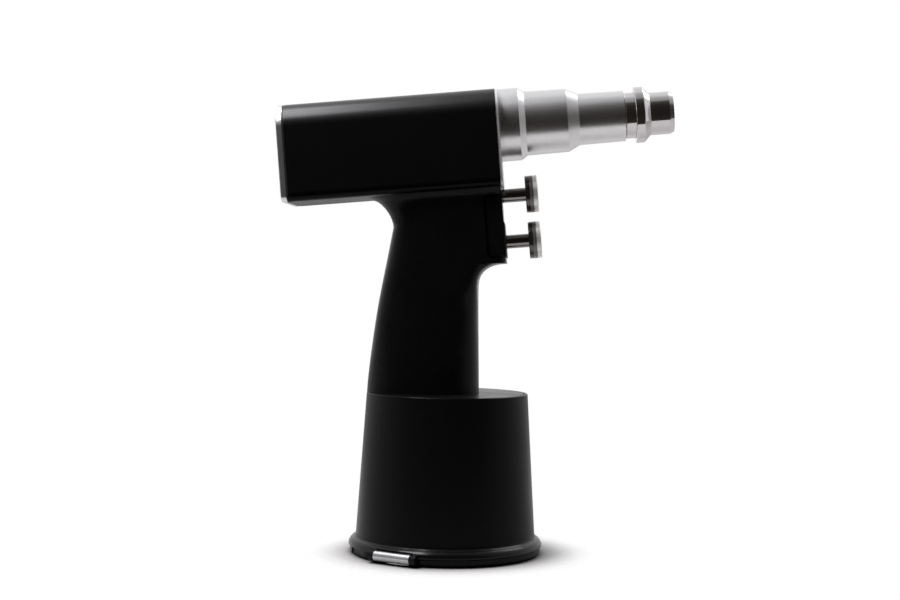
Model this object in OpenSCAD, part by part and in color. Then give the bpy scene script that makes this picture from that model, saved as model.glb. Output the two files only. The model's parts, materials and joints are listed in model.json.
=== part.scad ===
// Battery acetabular reamer drill with a round battery base, pistol grip, two triggers and a quick coupling.
// X points towards the nose, Z is up, and the origin is the centre of the face the drill stands on.

/* [Base] */
// Height of the battery base's top face
base_h = 79.3; // [78:0.1:90]
// Radius of the base's side at its top
base_top_r = 40.2; // [39.8:0.1:44]
// How much the base's side widens from its top down to the floor
base_flare = 5; // [4.2:0.1:5.8]
// How far the rounded foot flange stands out beyond the top of the base's side
flange_out = 8; // [7.6:0.1:12]
// Height at which the foot flange starts to round over
flange_h = 4.1; // [4.1:0.1:6]
// Rounding of the foot flange's upper edge
flange_round = 3.8; // [3:0.1:4.2]
// Thickness of the base's wall at its top
base_wall = 2.6; // [2.4:0.05:2.8]
// Thickness of the base's top plate
plate_t = 3; // [2.5:0.1:4]
// Width of the rim round the top plate
plate_rim = 1.6; // [1.2:0.1:1.8]
// Width of the groove between the top plate and its rim
plate_groove = 0.4; // [0.2:0.05:0.6]
// Thickness of the ledge that carries the top plate
ledge_t = 3; // [2:0.1:3.5]
// Width of that ledge
ledge_w = 4.6; // [4.4:0.1:5.5]

/* [Lid] */
// Thickness of the battery lid
lid_t = 3.4; // [3:0.1:3.6]
// How far the lid's edge stays inside the foot flange
lid_inset = 0.8; // [0.4:0.1:1.5]
// Bevel of the lid's lower edge
lid_bevel = 1.2; // [0.5:0.1:1.6]
// Parting gap between the lid and the foot flange
lid_gap = 0.3; // [0.2:0.05:0.5]
// How far the hinge axis lies inside the foot flange's edge
hinge_in = 0.9; // [0.4:0.1:1.4]
// Height of the hinge axis
hinge_axis_h = 3.3; // [3.2:0.1:3.8]
// Direction of the hinge round the base, in degrees
hinge_dir = 242; // [200:1:290]
// Length of the hinge barrel
barrel_l = 20; // [14:0.5:26]
// Radius of the hinge barrel
barrel_r = 2.6; // [2.2:0.1:2.8]
// Radius of the hinge pin
hinge_pin_r = 1.25; // [0.8:0.05:1.4]
// Length of each knuckle beside the barrel
knuckle_l = 3; // [2:0.1:5]
// Radius of the knuckles
knuckle_r = 2.6; // [2.3:0.1:3.1]
// Radius of the quarter-turn lock's head
lock_head_r = 4; // [3.6:0.1:4.2]
// Radius of the quarter-turn lock's shank
lock_shank_r = 1.6; // [1.2:0.1:1.8]
// How far the lock lies inside the foot flange's edge
lock_in = 6.9; // [6.5:0.1:7.2]
// Width of the finger recess in the lid's edge
finger_recess_w = 16; // [12:0.5:20]
// Depth of the finger recess
finger_recess_depth = 1.2; // [0.6:0.1:1.6]

/* [Battery] */
// Radius of one battery cell
cell_r = 9.15; // [8.5:0.05:9.2]
// Height of the terminal block between the battery and the top plate
terminal_h = 4; // [3:0.1:6]
// Number of cells round the middle one
ring_cells = 6; // [4:1:6]
// Radius of the circle of cells
cell_ring_r = 19.6; // [19.2:0.1:26]
// Thickness of the battery case's floor and top
case_wall = 1.2; // [0.8:0.1:1.4]
// Clearance of the battery case in its bay
case_gap = 0.3; // [0.2:0.05:0.4]

/* [Grip] */
// Distance from the base's axis to the front of the grip's foot
grip_foot_front = 15.85; // [14:0.05:18]
// Distance from the base's axis to the front of the grip under the triggers
grip_front = 14.7; // [13:0.1:16]
// Distance from the base's axis to the back of the grip at its waist
grip_waist_rear = 28; // [26:0.1:30]
// Height of the grip's waist
grip_waist_h = 163.7; // [160:0.1:166]
// Height at which the grip's front starts to sweep forward
grip_sweep_h = 132.4; // [128:0.1:136]
// Height of the sweep under the triggers
grip_sweep_rise = 10; // [8:0.1:10.4]
// Half the grip's width at its foot
grip_foot_half = 19.5; // [18:0.1:21]
// Half the grip's width at the hand
grip_half = 17; // [15.5:0.1:18]
// How far the grip's back flares out where it meets the body
grip_flare = 13; // [8:0.1:14]
// How far the grip's sides flare out where they meet the body
grip_side_flare = 2.5; // [1:0.1:3.5]
// Thickness of the grip's wall
grip_wall = 3; // [2.4:0.1:3.5]

/* [Body] */
// Height of the nose axis above the floor, over the base's axis
axis_h = 210.8; // [209:0.1:214]
// Upward tilt of the body, in degrees
tilt = 5; // [3:0.5:7]
// Distance from the base's axis to the rear end of the body's shell
body_rear = 81.8; // [78:0.1:90]
// Distance from the base's axis to the front of the body's shell
body_front = 23; // [22.5:0.1:24]
// Width of the body
body_w = 44; // [43:0.1:48]
// Height of the body's top above the nose axis
body_top = 17.2; // [17:0.1:19]
// Depth of the body's underside below the nose axis
body_bottom = 31.5; // [31.4:0.1:31.8]
// Rounding of the body's upper edges
body_top_round = 12; // [10:0.1:13]
// Rounding of the body's lower edges
body_low_round = 3.5; // [2.8:0.1:5]
// Thickness of the body's wall
body_wall = 2.6; // [2.2:0.1:2.8]
// Thickness of the rear cap
cap_t = 3; // [2.6:0.1:4]
// Rounding of the rear cap's edge
cap_round = 1; // [0.5:0.1:1.2]
// Thickness of the rear gasket
gasket_t = 0.8; // [0.4:0.1:1.2]
// Thickness of the front plate
front_plate_t = 1.2; // [0.8:0.1:1.5]

/* [Nose] */
// Radius of the nose's rear section
nose_r1 = 18; // [17.6:0.1:18.6]
// Radius of the nose's middle section at its rear
nose_r2 = 15.9; // [15.7:0.1:16.5]
// Radius of the nose's front section at its rear
nose_r3 = 12.7; // [12:0.1:13.5]
// How much the middle and front sections narrow along their length
nose_taper = 0.3; // [0.1:0.05:0.4]
// Length of the rear section
nose_l1 = 9.9; // [9:0.1:12]
// Length of the first bevel
nose_bevel1 = 3; // [2:0.1:4]
// Length of the middle section
nose_l2 = 20.6; // [20:0.1:24]
// Length of the second bevel
nose_bevel2 = 5.7; // [4:0.1:7]
// Length of the front section
nose_l3 = 22.6; // [22:0.1:26]
// Radius of the bore for the gears
gear_bore_r = 13.95; // [13.9:0.01:14.1]
// Radius of the bearing seats
bearing_seat_r = 9.55; // [9.4:0.05:9.8]

/* [Gears] */
// Gear module
gear_module = 0.5; // [0.45:0.01:0.5]
// Teeth on each sun gear
sun_teeth = 12; // [12:6:12]
// Teeth on each planet gear
planet_teeth = 18; // [18:6:18]
// Share of a tooth's thickness left as backlash
backlash_share = 0.12; // [0.08:0.01:0.16]
// Width of the first stage's gears
gear_w1 = 7.5; // [6:0.1:8]
// Width of the second stage's gears
gear_w2 = 9.5; // [8:0.1:10]
// Thickness of each planet carrier
carrier_t = 2.5; // [2:0.1:3]
// Radius of the planet pins
planet_pin_r = 1.2; // [1:0.05:1.3]

/* [Motor] */
// Radius of the motor's can
motor_r = 14; // [13.5:0.1:14.3]
// Length of the motor's can
motor_l = 62; // [56:0.5:64]
// Radius of the rotor
rotor_r = 7.5; // [6:0.1:8]
// Length of the rotor
rotor_l = 36; // [28:0.5:38]
// Radius of the motor's shaft
motor_shaft_r = 2.2; // [1.8:0.05:2.25]
// Thickness of the motor's mounting plate
motor_plate_t = 4; // [4:0.1:5]

/* [Coupling] */
// Radius of the spindle
spindle_r = 5; // [4.6:0.05:5.4]
// Radius of the coupling's neck
neck_r = 11.3; // [11:0.1:11.6]
// Length of the neck that shows
neck_l = 5.2; // [4.8:0.1:6]
// Radius of the release collar's flange
collar_flange_r = 13.75; // [13.5:0.05:15]
// Length of the release collar's flange
collar_flange_l = 4.4; // [4:0.1:5]
// Length of the bevel in front of the flange
collar_bevel_l = 2.8; // [2.4:0.1:3.5]
// Radius of the release collar's sleeve
collar_r = 10.5; // [10.2:0.05:10.9]
// Length of the release collar's sleeve
collar_sleeve_l = 11.6; // [11:0.1:14]
// Bevel at the release collar's tip
collar_tip_bevel = 0.8; // [0.4:0.1:1.0]
// Travel of the release collar
collar_travel = 3; // [2:0.1:3.5]
// Radius of the socket for the reamer's shank
socket_r = 4.75; // [4.5:0.05:4.9]
// Depth of the socket
socket_l = 16; // [14:0.1:16.5]
// Outer radius of the socket's tube
socket_tube_r = 7.95; // [7.9:0.05:8.1]

/* [Triggers] */
// Depth of the upper trigger below the nose axis
upper_trigger_z = 35.2; // [35.1:0.1:36]
// Distance between the two triggers
trigger_pitch = 22.9; // [20:0.1:23.5]
// Radius of the trigger stems
stem_r = 3.4; // [3:0.05:3.4]
// Radius of the trigger heads
head_r = 9.15; // [8:0.05:9.5]
// Thickness of the trigger heads
head_t = 5.75; // [5:0.05:7]
// Distance from the body's front to the trigger heads
head_gap = 11.75; // [9:0.05:13]
// Rounding of the trigger heads' rear edge
head_round = 1.2; // [0.6:0.1:2]
// Bevel of the trigger heads' front edge
head_bevel = 0.4; // [0.2:0.1:1]
// Depth of the dish in the trigger heads' front
head_dish = 0.6; // [0.3:0.1:0.9]
// Travel of the triggers
trigger_travel = 5; // [3:0.1:5.5]
// Half the width of the trigger block
block_half = 15.4; // [14.6:0.1:16]
// Length of the trigger block from its back to the body's front
block_l = 9.2; // [8.6:0.1:10]
// Depth of the trigger block's bottom below the nose axis
block_bottom = 66; // [65:0.1:67.5]
// How far the top of the trigger block's panel stays below the body
block_drop = 3.5; // [3:0.1:5]
// How far the lower part of the block stands in front of the body
block_step = 0.5; // [0.2:0.1:0.8]
// Rounding of the trigger block's edges
block_round = 1.6; // [1:0.1:2]
// Rounding of the panel's rear corners
block_corner = 3; // [2.2:0.1:4]

/* [Hidden] */
// Clearance between pieces fixed in one another
fit_gap = 0.05;
// Radial clearance of running and sliding fits
run_gap = 0.05;
// Small gap between neighbours that do not touch
air_gap = 0.3;
// Overrun of every cut
cut = 1;

// Screws
screw_shank_r = 1.5;
screw_head_r = 2.8;
screw_head_l = 1.6;
screw_hole_gap = 0.15;
small_shank_r = 1.25;
small_head_r = 2.3;

// Base
base_foot_r = base_top_r + base_flare;
flange_r = base_top_r + flange_out;
bay_r = base_top_r - base_wall;
tub_bottom = lid_t + lid_gap;
plate_under = base_h - plate_t;
ledge_under = plate_under - ledge_t;
ledge_r = bay_r - ledge_w;
plate_seat_r = base_top_r - plate_rim;
plate_r = plate_seat_r - plate_groove;
plate_screw_l = ledge_t + plate_t * 0.75;
foot_screw_grip = 6;
foot_screw_l = plate_t + foot_screw_grip;
notch_overrun = 3;

// Battery
contact_l = 1.2;
contact_r = 1.5;
case_z0 = tub_bottom;
cell_z0 = case_z0 + case_wall;
cell_l = plate_under - terminal_h - contact_l - case_wall - cell_z0;
case_z1 = cell_z0 + cell_l + case_wall;
terminal_z0 = case_z1 + contact_l;
terminal_x = 22;
terminal_y = 20;

// Lid
lid_r = flange_r - lid_inset;
hinge_axis_r = flange_r - hinge_in;
hinge_half = barrel_l / 2 + air_gap + knuckle_l;
leaf_reach = 7;
leaf_t = 1.5;
leaf_low = lid_t - leaf_t - hinge_axis_h;
leaf_shoulder = 0.4;
leaf_half = barrel_l / 2 - air_gap - leaf_shoulder;
leaf_screw_r = 1;
leaf_screw_z = 0.9;
lid_notch_r = knuckle_r + air_gap + knuckle_r / 8;
notch_top = hinge_axis_h + barrel_r + 2 * air_gap;
finger_recess_dir = hinge_dir - 34;
lock_r = flange_r - lock_in;
lock_lug_half = 2.9;
lock_lug_half_w = 1.3;
lock_lug_t = 1.5;
lock_lug_rise = 1.6;
lock_lug_z1 = tub_bottom + lock_lug_rise + lock_lug_t + air_gap / 2;
lock_pocket_r = lock_lug_half + air_gap;
lock_head_t = 1.4;
lock_head_z0 = 0.2;
lock_head_z1 = lock_head_z0 + lock_head_t / 2;
lock_slot_w = 1;
seal_w = 1.2;
seal_r = bay_r + seal_w;
seal_t = 1.2;

// Body's shell
wall_in = body_wall;
floor_in = body_bottom - body_wall;
shell_rear = body_rear - gasket_t;
front_inner = body_front - body_wall;
cap_screw_edge = 5;
cap_boss_r = 3.3;
cap_boss_l = 12;
cap_screw_l = 11;
standoff_r = 2;
// Height on the base's axis of the body's underside plane.
under_h = axis_h - body_bottom / cos(tilt);

// Grip
grip_centre_x = (grip_foot_front - base_top_r) / 2;
foot_screw_x = (grip_foot_front + base_top_r) / 2 * 0.59;
foot_screw_y = grip_foot_half * 0.385;
grip_points = 56;
grip_floor_t = 7;
grip_roof_t = 6;
grip_rear_power = 1.3;
grip_flare_power = 1.6;
grip_sweep_power = 2.5;
grip_side_flare_l = 7;
square_at_foot = 2.2;
square_at_hand = 3;
square_at_triggers = 8;
tilt_from_share = 0.41;
tilt_to_share = 0.71;
duct_x0 = -grip_waist_rear * 0.75;
duct_l = 11;
duct_x1 = duct_x0 + duct_l;
duct_half = 6.5;
top_screw_grip = 4.5;
top_screw_edge = 3.5;
top_screw_y = grip_half * 0.53;

// Control board and wiring
board_z = 22;
board_t = 1.6;
board_x0 = -64;
board_x1 = 6;
board_half = 16;
board_hole_edge = 3;
part_h = 4.4;
chip_l = 8;
chip_pitch = 12;
chip_edge = 3;
capacitor_r = 4;
capacitor_pitch = 14;
harness_hole_r = 5;
harness_r = 2.2;
harness_back = 13.2;
harness_sway = 2.2;
harness_sides = 8;
harness_rings = 8;
// Height at which the harness meets the board's underside, which tilts over the harness's end.
harness_top = axis_h - (board_z + board_t) / cos(tilt) - (harness_back + harness_r) * tan(tilt) - fit_gap;

// Nose
nose_x0 = body_front + front_plate_t;
nose_x1 = body_front + nose_l1 + front_plate_t;
nose_x2 = nose_x1 + nose_bevel1;
nose_x3 = nose_x2 + nose_l2;
nose_x4 = nose_x3 + nose_bevel2;
nose_x5 = nose_x4 + nose_l3;
nose_screw_ring = (gear_bore_r + nose_r1) / 2;
nose_screw_r = 0.9;
nose_screw_l = 6;

// Gears
ring_teeth = sun_teeth + 2 * planet_teeth;
sun_pitch_r = gear_module * sun_teeth / 2;
planet_pitch_r = gear_module * planet_teeth / 2;
ring_pitch_r = gear_module * ring_teeth / 2;
planet_ring_r = sun_pitch_r + planet_pitch_r;
planets = 3;
pressure_angle = 20;
addendum_share = 0.9;
dedendum_share = 1.2;
ring_gear_r = gear_bore_r - fit_gap;
gear_lead = 2;
gears_x0 = nose_x0 + 2.5 * air_gap;
planets1_x = gears_x0 + gear_lead;
carrier1_x = planets1_x + gear_w1 + air_gap;
planets2_x = carrier1_x + carrier_t + air_gap;
carrier2_x = planets2_x + gear_w2 + air_gap;
ring_gear_x1 = carrier2_x - air_gap / 2;
carrier_r = ring_pitch_r - gear_module - air_gap;

// Motor
motor_plate_x = front_inner - motor_plate_t;
motor_x0 = motor_plate_x - motor_l;
can_wall = 1.2;
can_end_t = 4;
motor_bearing_r = 6.5;
motor_bearing_w = 3.6;
rotor_x0 = motor_x0 + (motor_l - rotor_l) / 2 + can_end_t;
stator_gap = 0.5;
stator_over = 2;

// Spindle and coupling
bearing_w = 5;
bearing_inset = 2;
bearing_room = 1;
bearing_shoulder = 1;
seal_lip_t = 2;
bearing1_x = nose_x4 + bearing_inset;
bearing2_x = nose_x5 - seal_lip_t - bearing_room - bearing_w;
neck_x0 = nose_x5 + air_gap;
neck_hidden = 0.8;
collar_x0 = nose_x5 + neck_l;
neck_x1 = collar_x0 + neck_hidden;
spindle_recess = 1;
spindle_x1 = neck_x1 - spindle_recess;
collar_x1 = collar_x0 + collar_flange_l;
collar_x2 = collar_x1 + collar_bevel_l;
collar_x3 = collar_x2 + collar_sleeve_l;
collar_spring_room = 1;
collar_spring_edge = 1;
collar_spring_gap = 0.6;
collar_pocket_r = neck_r + air_gap / 2;
collar_pocket_x = neck_x1 + collar_travel + collar_spring_room;
tip_recess = 1;
chuck_x1 = collar_x3 - tip_recess;
clip_t = 1;
clip_proud = 0.9;
clip_groove = 0.7;
clip_x = chuck_x1 - 2 * clip_t;
clip_r = socket_tube_r + clip_proud;
clip_groove_r = socket_tube_r - clip_groove;
tip_bore_r = clip_r + air_gap;
socket_mouth = 0.6;
ball_r = 1.5;
ball_ring_r = socket_r + ball_r + fit_gap * 2;
ball_depth = 9;
ball_x = chuck_x1 - ball_depth;
balls = 3;

// Triggers
lower_trigger_z = upper_trigger_z + trigger_pitch;
head_rim = 1;
block_x0 = body_front - block_l;
block_seat = 0.4;
block_top = floor_in + block_seat;
block_panel_top = body_bottom + block_drop;
block_step_z = upper_trigger_z + trigger_pitch * 0.6;
block_tab_half = block_half * 0.65;
block_cheek = 2;
bushing_wall = 1;
bushing_sink = 0.4;
bushing_r = stem_r + bushing_wall;
stop_lip = 0.7;
stop_r = stem_r + stop_lip;
stop_t = 1.2;
stop_x1 = block_x0 + bushing_sink - air_gap;
guide_pin_r = 1.8;
bracket_t = 1.5;
spring_solid_l = 4.6;
bracket_l = bracket_t + spring_solid_l + trigger_travel + stop_t;
bracket_margin = 1;
bracket_half = 11.5;
bracket_x0 = block_x0 - bracket_l;
bracket_low = lower_trigger_z + stop_r + bracket_margin;
guide_x0 = bracket_x0 + bracket_t / 2;
spring_gap = 0.4;
spring_in_r = guide_pin_r + spring_gap;
spring_out_r = stem_r + spring_gap;
magnet_r = 1.1;
magnet_l = 3;
cavity_rear = 5;
cavity_half = block_half - block_cheek;
sensor_edge = 2;
sensor_t = 1;
sensor_l = 4;
sensor_h = 3;

// Places children in the tilted body's frame: X along the nose axis from over the base's axis.
module in_body() {
    translate([0, 0, axis_h]) rotate([0, -tilt, 0]) children();
}

// Turns a solid drawn along Z so that it lies along the nose axis, starting at x.
module along_nose(x = 0) {
    translate([x, 0, 0]) rotate([0, 90, 0]) children();
}

// A round bar along the nose axis from x0 to x1.
module nose_bar(r, x0, x1, y = 0, z = 0) {
    translate([0, y, z]) along_nose(x0) cylinder(r = r, h = x1 - x0, $fn = 96);
}

// A ring along the nose axis.
module nose_ring(r_out, r_in, x0, x1) {
    difference() {
        nose_bar(r_out, x0, x1);
        nose_bar(r_in, x0 - cut, x1 + cut);
    }
}

// A solid turned round the nose axis from a list of [x, r] points that starts and ends on the axis.
module turned(points) {
    along_nose() rotate_extrude($fn = 128) polygon([for (p = points) [p[1], p[0]]]);
}

// Points of an arc round c from angle a0 to a1.
function arc(c, r, a0, a1, n) =
    [for (i = [0:n]) let (a = a0 + (a1 - a0) * i / n) [c[0] + r * cos(a), c[1] + r * sin(a)]];

// The body's cross-section, drawn with X across and Y up, and shrunk by inset.
module body_section(inset = 0) {
    half = body_w / 2 - inset;
    top = body_top - inset;
    low = -body_bottom + inset;
    r_top = body_top_round - inset;
    r_low = max(body_low_round - inset, body_low_round / 4);
    polygon(concat(
        arc([half - r_low, low + r_low], r_low, -90, 0, 6),
        arc([half - r_top, top - r_top], r_top, 0, 90, 16),
        arc([-half + r_top, top - r_top], r_top, 90, 180, 16),
        arc([-half + r_low, low + r_low], r_low, 180, 270, 6)));
}

// A slab of the body's cross-section from x0 to x1.
module body_slab(x0, x1, inset = 0) {
    translate([x0, 0, 0]) rotate([90, 0, 90]) linear_extrude(x1 - x0) body_section(inset);
}

// Children repeated at the four cap screws.
module at_cap_screws() {
    side = body_w / 2 - body_top_round + (body_top_round - cap_screw_edge) * cos(45);
    top = body_top - body_top_round + (body_top_round - cap_screw_edge) * sin(45);
    low = floor_in - cap_boss_r * 0.85;
    for (y = [-side, side]) {
        translate([0, y, top]) children();
        translate([0, y, -low]) children();
    }
}

// Children repeated at the four nose screws.
module at_nose_screws() {
    for (a = [45:90:315])
        rotate([a, 0, 0]) translate([0, 0, nose_screw_ring]) children();
}

// Places children at the hinge: X outward from the base's axis, Y along the hinge axis.
module at_hinge() {
    rotate([0, 0, hinge_dir]) translate([hinge_axis_r, 0, hinge_axis_h]) children();
}

// A bar of radius r along the hinge axis from y0 to y1.
module hinge_bar(r, y0, y1) {
    translate([0, y0, 0]) rotate([-90, 0, 0]) cylinder(r = r, h = y1 - y0, $fn = 64);
}

// Places children at the quarter-turn lock, opposite the hinge.
module at_lock() {
    rotate([0, 0, hinge_dir + 180]) translate([lock_r, 0, 0]) children();
}

function side_r(z) = base_foot_r + (base_top_r - base_foot_r) * z / base_h;

module battery_housing() color("#1b1b1d") {
    arc_end = 68;
    flange_top = flange_h + flange_round * sin(arc_end);
    flange_side = flange_r - flange_round * (1 - cos(arc_end));
    fillet = flange_round / 3;
    meet = flange_top + fillet * 1.4;
    difference() {
        union() {
            rotate_extrude($fn = 180) polygon(concat(
                [[bay_r, tub_bottom], [flange_r - lid_gap, tub_bottom], [flange_r, tub_bottom + lid_gap]],
                arc([flange_r - flange_round, flange_h], flange_round, 0, arc_end, 8),
                [[(flange_side + side_r(meet)) / 2 - fillet / 6, flange_top + fillet / 2],
                 [side_r(meet), meet], [base_top_r, base_h - lid_gap],
                 [base_top_r - lid_gap, base_h], [plate_seat_r, base_h],
                 [plate_seat_r, plate_under], [ledge_r, plate_under],
                 [ledge_r, ledge_under], [bay_r, ledge_under]]));
            at_hinge() for (s = [0, 1]) mirror([0, s, 0])
                hinge_bar(knuckle_r, barrel_l / 2 + air_gap, hinge_half);
        }
        at_hinge() {
            translate([-notch_overrun - leaf_reach / 2, -barrel_l / 2 - air_gap, -hinge_axis_h])
                cube([leaf_reach + 2 * notch_overrun, barrel_l + 2 * air_gap, notch_top]);
            hinge_bar(hinge_pin_r + run_gap, -hinge_half + knuckle_l / 4, hinge_half - knuckle_l / 4);
        }
        at_lock() {
            translate([-lock_lug_half_w - air_gap, -lock_pocket_r, tub_bottom - cut])
                cube([2 * (lock_lug_half_w + air_gap), 2 * lock_pocket_r, lid_gap + cut + lock_lug_rise]);
            translate([0, 0, tub_bottom + lock_lug_rise - air_gap])
                cylinder(r = lock_pocket_r, h = lock_lug_t + 3 * air_gap, $fn = 64);
        }
        at_plate_screws() translate([0, 0, ledge_under - cut])
            cylinder(r = small_shank_r + screw_hole_gap, h = ledge_t + 2 * cut, $fn = 48);
    }
}

module at_plate_screws() {
    for (a = [0:60:300]) rotate([0, 0, a + 30]) translate([ledge_r + ledge_w / 2, 0, 0]) children();
}

module at_foot_screws() {
    for (x = [-foot_screw_x, foot_screw_x], y = [-foot_screw_y, foot_screw_y])
        translate([grip_centre_x + x, y, 0]) children();
}

// A cap screw drawn downwards from its head's underside at z = 0, with its shank upwards.
module up_screw(shank_r, head_r, shank_l) {
    difference() {
        union() {
            cylinder(r = shank_r, h = shank_l, $fn = 48);
            translate([0, 0, -screw_head_l]) cylinder(r = head_r, h = screw_head_l, $fn = 48);
        }
        translate([0, 0, -screw_head_l - cut]) cylinder(r = head_r / 2, h = cut + screw_head_l / 2, $fn = 6);
    }
}

module base_plate() color("#202022") {
    difference() {
        translate([0, 0, plate_under]) cylinder(r = plate_r, h = plate_t, $fn = 180);
        at_plate_screws() translate([0, 0, plate_under - cut])
            cylinder(r = small_shank_r + fit_gap, h = cut + plate_t * 0.75 + fit_gap, $fn = 48);
        at_foot_screws() translate([0, 0, plate_under - cut])
            cylinder(r = screw_shank_r + screw_hole_gap, h = plate_t + 2 * cut, $fn = 48);
        translate([grip_centre_x, 0, plate_under - cut])
            cylinder(r = harness_hole_r, h = plate_t + 2 * cut, $fn = 64);
    }
}

module base_plate_screws() color("silver") {
    at_plate_screws() translate([0, 0, ledge_under]) up_screw(small_shank_r, small_head_r, plate_screw_l);
}

module battery_case() color("#2c3e50") {
    difference() {
        translate([0, 0, case_z0]) cylinder(r = bay_r - case_gap, h = case_z1 - case_z0, $fn = 128);
        at_cells() translate([0, 0, cell_z0 - fit_gap])
            cylinder(r = cell_r + fit_gap, h = cell_l + 2 * fit_gap, $fn = 64);
    }
}

module at_cells() {
    children();
    for (i = [0:ring_cells - 1])
        rotate([0, 0, i * 360 / ring_cells]) translate([cell_ring_r, 0, 0]) children();
}

module battery_cells() color("seagreen") {
    at_cells() translate([0, 0, cell_z0]) cylinder(r = cell_r, h = cell_l, $fn = 64);
}

module terminal_block() color("#d8d2c0") {
    difference() {
        translate([grip_centre_x - terminal_x / 2, -terminal_y / 2, terminal_z0])
            cube([terminal_x, terminal_y, plate_under - terminal_z0]);
        translate([grip_centre_x, 0, plate_under - harness_r])
            cylinder(r = harness_r + fit_gap, h = harness_r + cut, $fn = 48);
    }
}

module contact_pins() color("gold") {
    for (x = [-1, 1], y = [-1, 1])
        translate([grip_centre_x + x * terminal_x / 3, y * terminal_y / 3, case_z1 + air_gap])
            cylinder(r = contact_r, h = terminal_z0 - case_z1 - air_gap, $fn = 48);
}

module battery_lid() color("#161617") {
    difference() {
        rotate_extrude($fn = 180) polygon([
            [0, 0], [lid_r - lid_bevel, 0], [lid_r, lid_bevel], [lid_r, lid_t], [0, lid_t]]);
        rotate([0, 0, finger_recess_dir])
            translate([lid_r - finger_recess_depth, -finger_recess_w / 2, lid_bevel * 0.4])
            cube([finger_recess_depth + cut, finger_recess_w, lid_t]);
        rotate([0, 0, hinge_dir])
            translate([hinge_axis_r - lid_notch_r, -hinge_half - air_gap, -cut])
            cube([flange_r, 2 * (hinge_half + air_gap), lid_t + 2 * cut]);
        at_hinge() translate([-leaf_reach - fit_gap, -leaf_half - fit_gap, leaf_low])
            cube([leaf_reach, 2 * (leaf_half + fit_gap), leaf_t + cut]);
        at_leaf_screws() translate([0, 0, leaf_screw_z])
            cylinder(r = leaf_screw_r + fit_gap, h = lid_t, $fn = 48);
        difference() {
            translate([0, 0, lid_t - seal_t + lid_gap / 2])
                cylinder(r = seal_r + seal_w / 2, h = lid_t, $fn = 128);
            translate([0, 0, -cut]) cylinder(r = seal_r - seal_w / 2, h = lid_t + 2 * cut, $fn = 128);
        }
        at_lock() {
            translate([0, 0, -cut]) cylinder(r = lock_shank_r + run_gap, h = lid_t + 2 * cut, $fn = 48);
            translate([0, 0, -cut])
                cylinder(r = lock_head_r + run_gap, h = cut + lock_head_z1 + run_gap, $fn = 64);
            translate([0, 0, lid_t - lock_lug_t])
                cylinder(r = lock_pocket_r, h = lock_lug_t + cut, $fn = 64);
        }
    }
}

module at_leaf_screws() {
    rotate([0, 0, hinge_dir]) for (s = [-1, 1])
        translate([hinge_axis_r - leaf_reach + 2 * leaf_screw_r, s * leaf_half * 0.6, 0]) children();
}

module lid_seal() color("#0e0e0e") {
    difference() {
        translate([0, 0, lid_t - seal_t + lid_gap / 2])
            cylinder(r = seal_r + seal_w / 2 - fit_gap, h = seal_t + lid_gap / 2 - fit_gap, $fn = 128);
        cylinder(r = seal_r - seal_w / 2 + fit_gap, h = lid_t + cut, $fn = 128);
    }
}

module hinge_barrel() color("#c9c9cc") {
    difference() {
        at_hinge() union() {
            hinge_bar(barrel_r, -barrel_l / 2, barrel_l / 2);
            translate([-leaf_reach, -leaf_half, leaf_low]) cube([leaf_reach, 2 * leaf_half, leaf_t]);
        }
        at_hinge() hinge_bar(hinge_pin_r + run_gap, -barrel_l / 2 - cut, barrel_l / 2 + cut);
        at_leaf_screws() cylinder(r = leaf_screw_r + fit_gap, h = lid_t + cut, $fn = 48);
    }
}

module hinge_screws() color("silver") {
    at_leaf_screws() translate([0, 0, leaf_screw_z])
        cylinder(r = leaf_screw_r, h = lid_t - leaf_screw_z, $fn = 48);
}

module hinge_pin() color("silver") {
    at_hinge() hinge_bar(hinge_pin_r, -hinge_half + knuckle_l / 4, hinge_half - knuckle_l / 4);
}

module lid_lock() color("silver") {
    at_lock() difference() {
        union() {
            translate([0, 0, lock_head_z0]) {
                cylinder(r = lock_head_r, h = lock_head_z1 - lock_head_z0, $fn = 64);
                cylinder(r = lock_shank_r, h = lock_lug_z1 - lock_head_z0, $fn = 48);
            }
            translate([-lock_lug_half_w, -lock_lug_half, lock_lug_z1 - lock_lug_t])
                cube([2 * lock_lug_half_w, 2 * lock_lug_half, lock_lug_t]);
        }
        translate([-lock_slot_w / 2, -lock_head_r, 0])
            cube([lock_slot_w, 2 * lock_head_r, lock_head_z0 + lock_head_t / 4]);
    }
}

// How far a grip ring at height h has taken up the body's tilt, from 0 to 1.
function tilted_share(h) =
    let (s = (h - base_h) / (under_h - base_h))
    min(1, max(0, (s - tilt_from_share) / (tilt_to_share - tilt_from_share)));

// How far a quarter of a superellipse has swept outward at t, from 0 to 1.
function quarter(t, power) = 1 - pow(max(0, 1 - pow(min(1, max(0, t)), power)), 1 / power);

// X of the body's front plane where a grip ring at height h crosses it.
function front_x(h) =
    (body_front / cos(tilt) + (axis_h - h) * tan(tilt)) / (1 + tan(tilt) * tan(tilt * tilted_share(h)));

// A smooth step from 0 to 1.
function smooth(t) = let (s = min(1, max(0, t))) s * s * (3 - 2 * s);

// X of the grip's back, of its straight front line and of its front at height h.
function grip_rear(h) =
    h <= grip_waist_h
        ? (base_top_r - grip_waist_rear) * pow((h - base_h) / (grip_waist_h - base_h), grip_rear_power)
            - base_top_r
        : -grip_waist_rear
            - grip_flare * quarter((h - grip_waist_h) / (under_h - grip_waist_h), grip_flare_power);
function grip_line(h) =
    grip_foot_front + (grip_front - grip_foot_front) * min(1, (h - base_h) / (grip_sweep_h - base_h));
function grip_fore(h) = grip_line(h)
    + (front_x(h) - grip_front) * quarter((h - grip_sweep_h) / grip_sweep_rise, grip_sweep_power);

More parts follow.
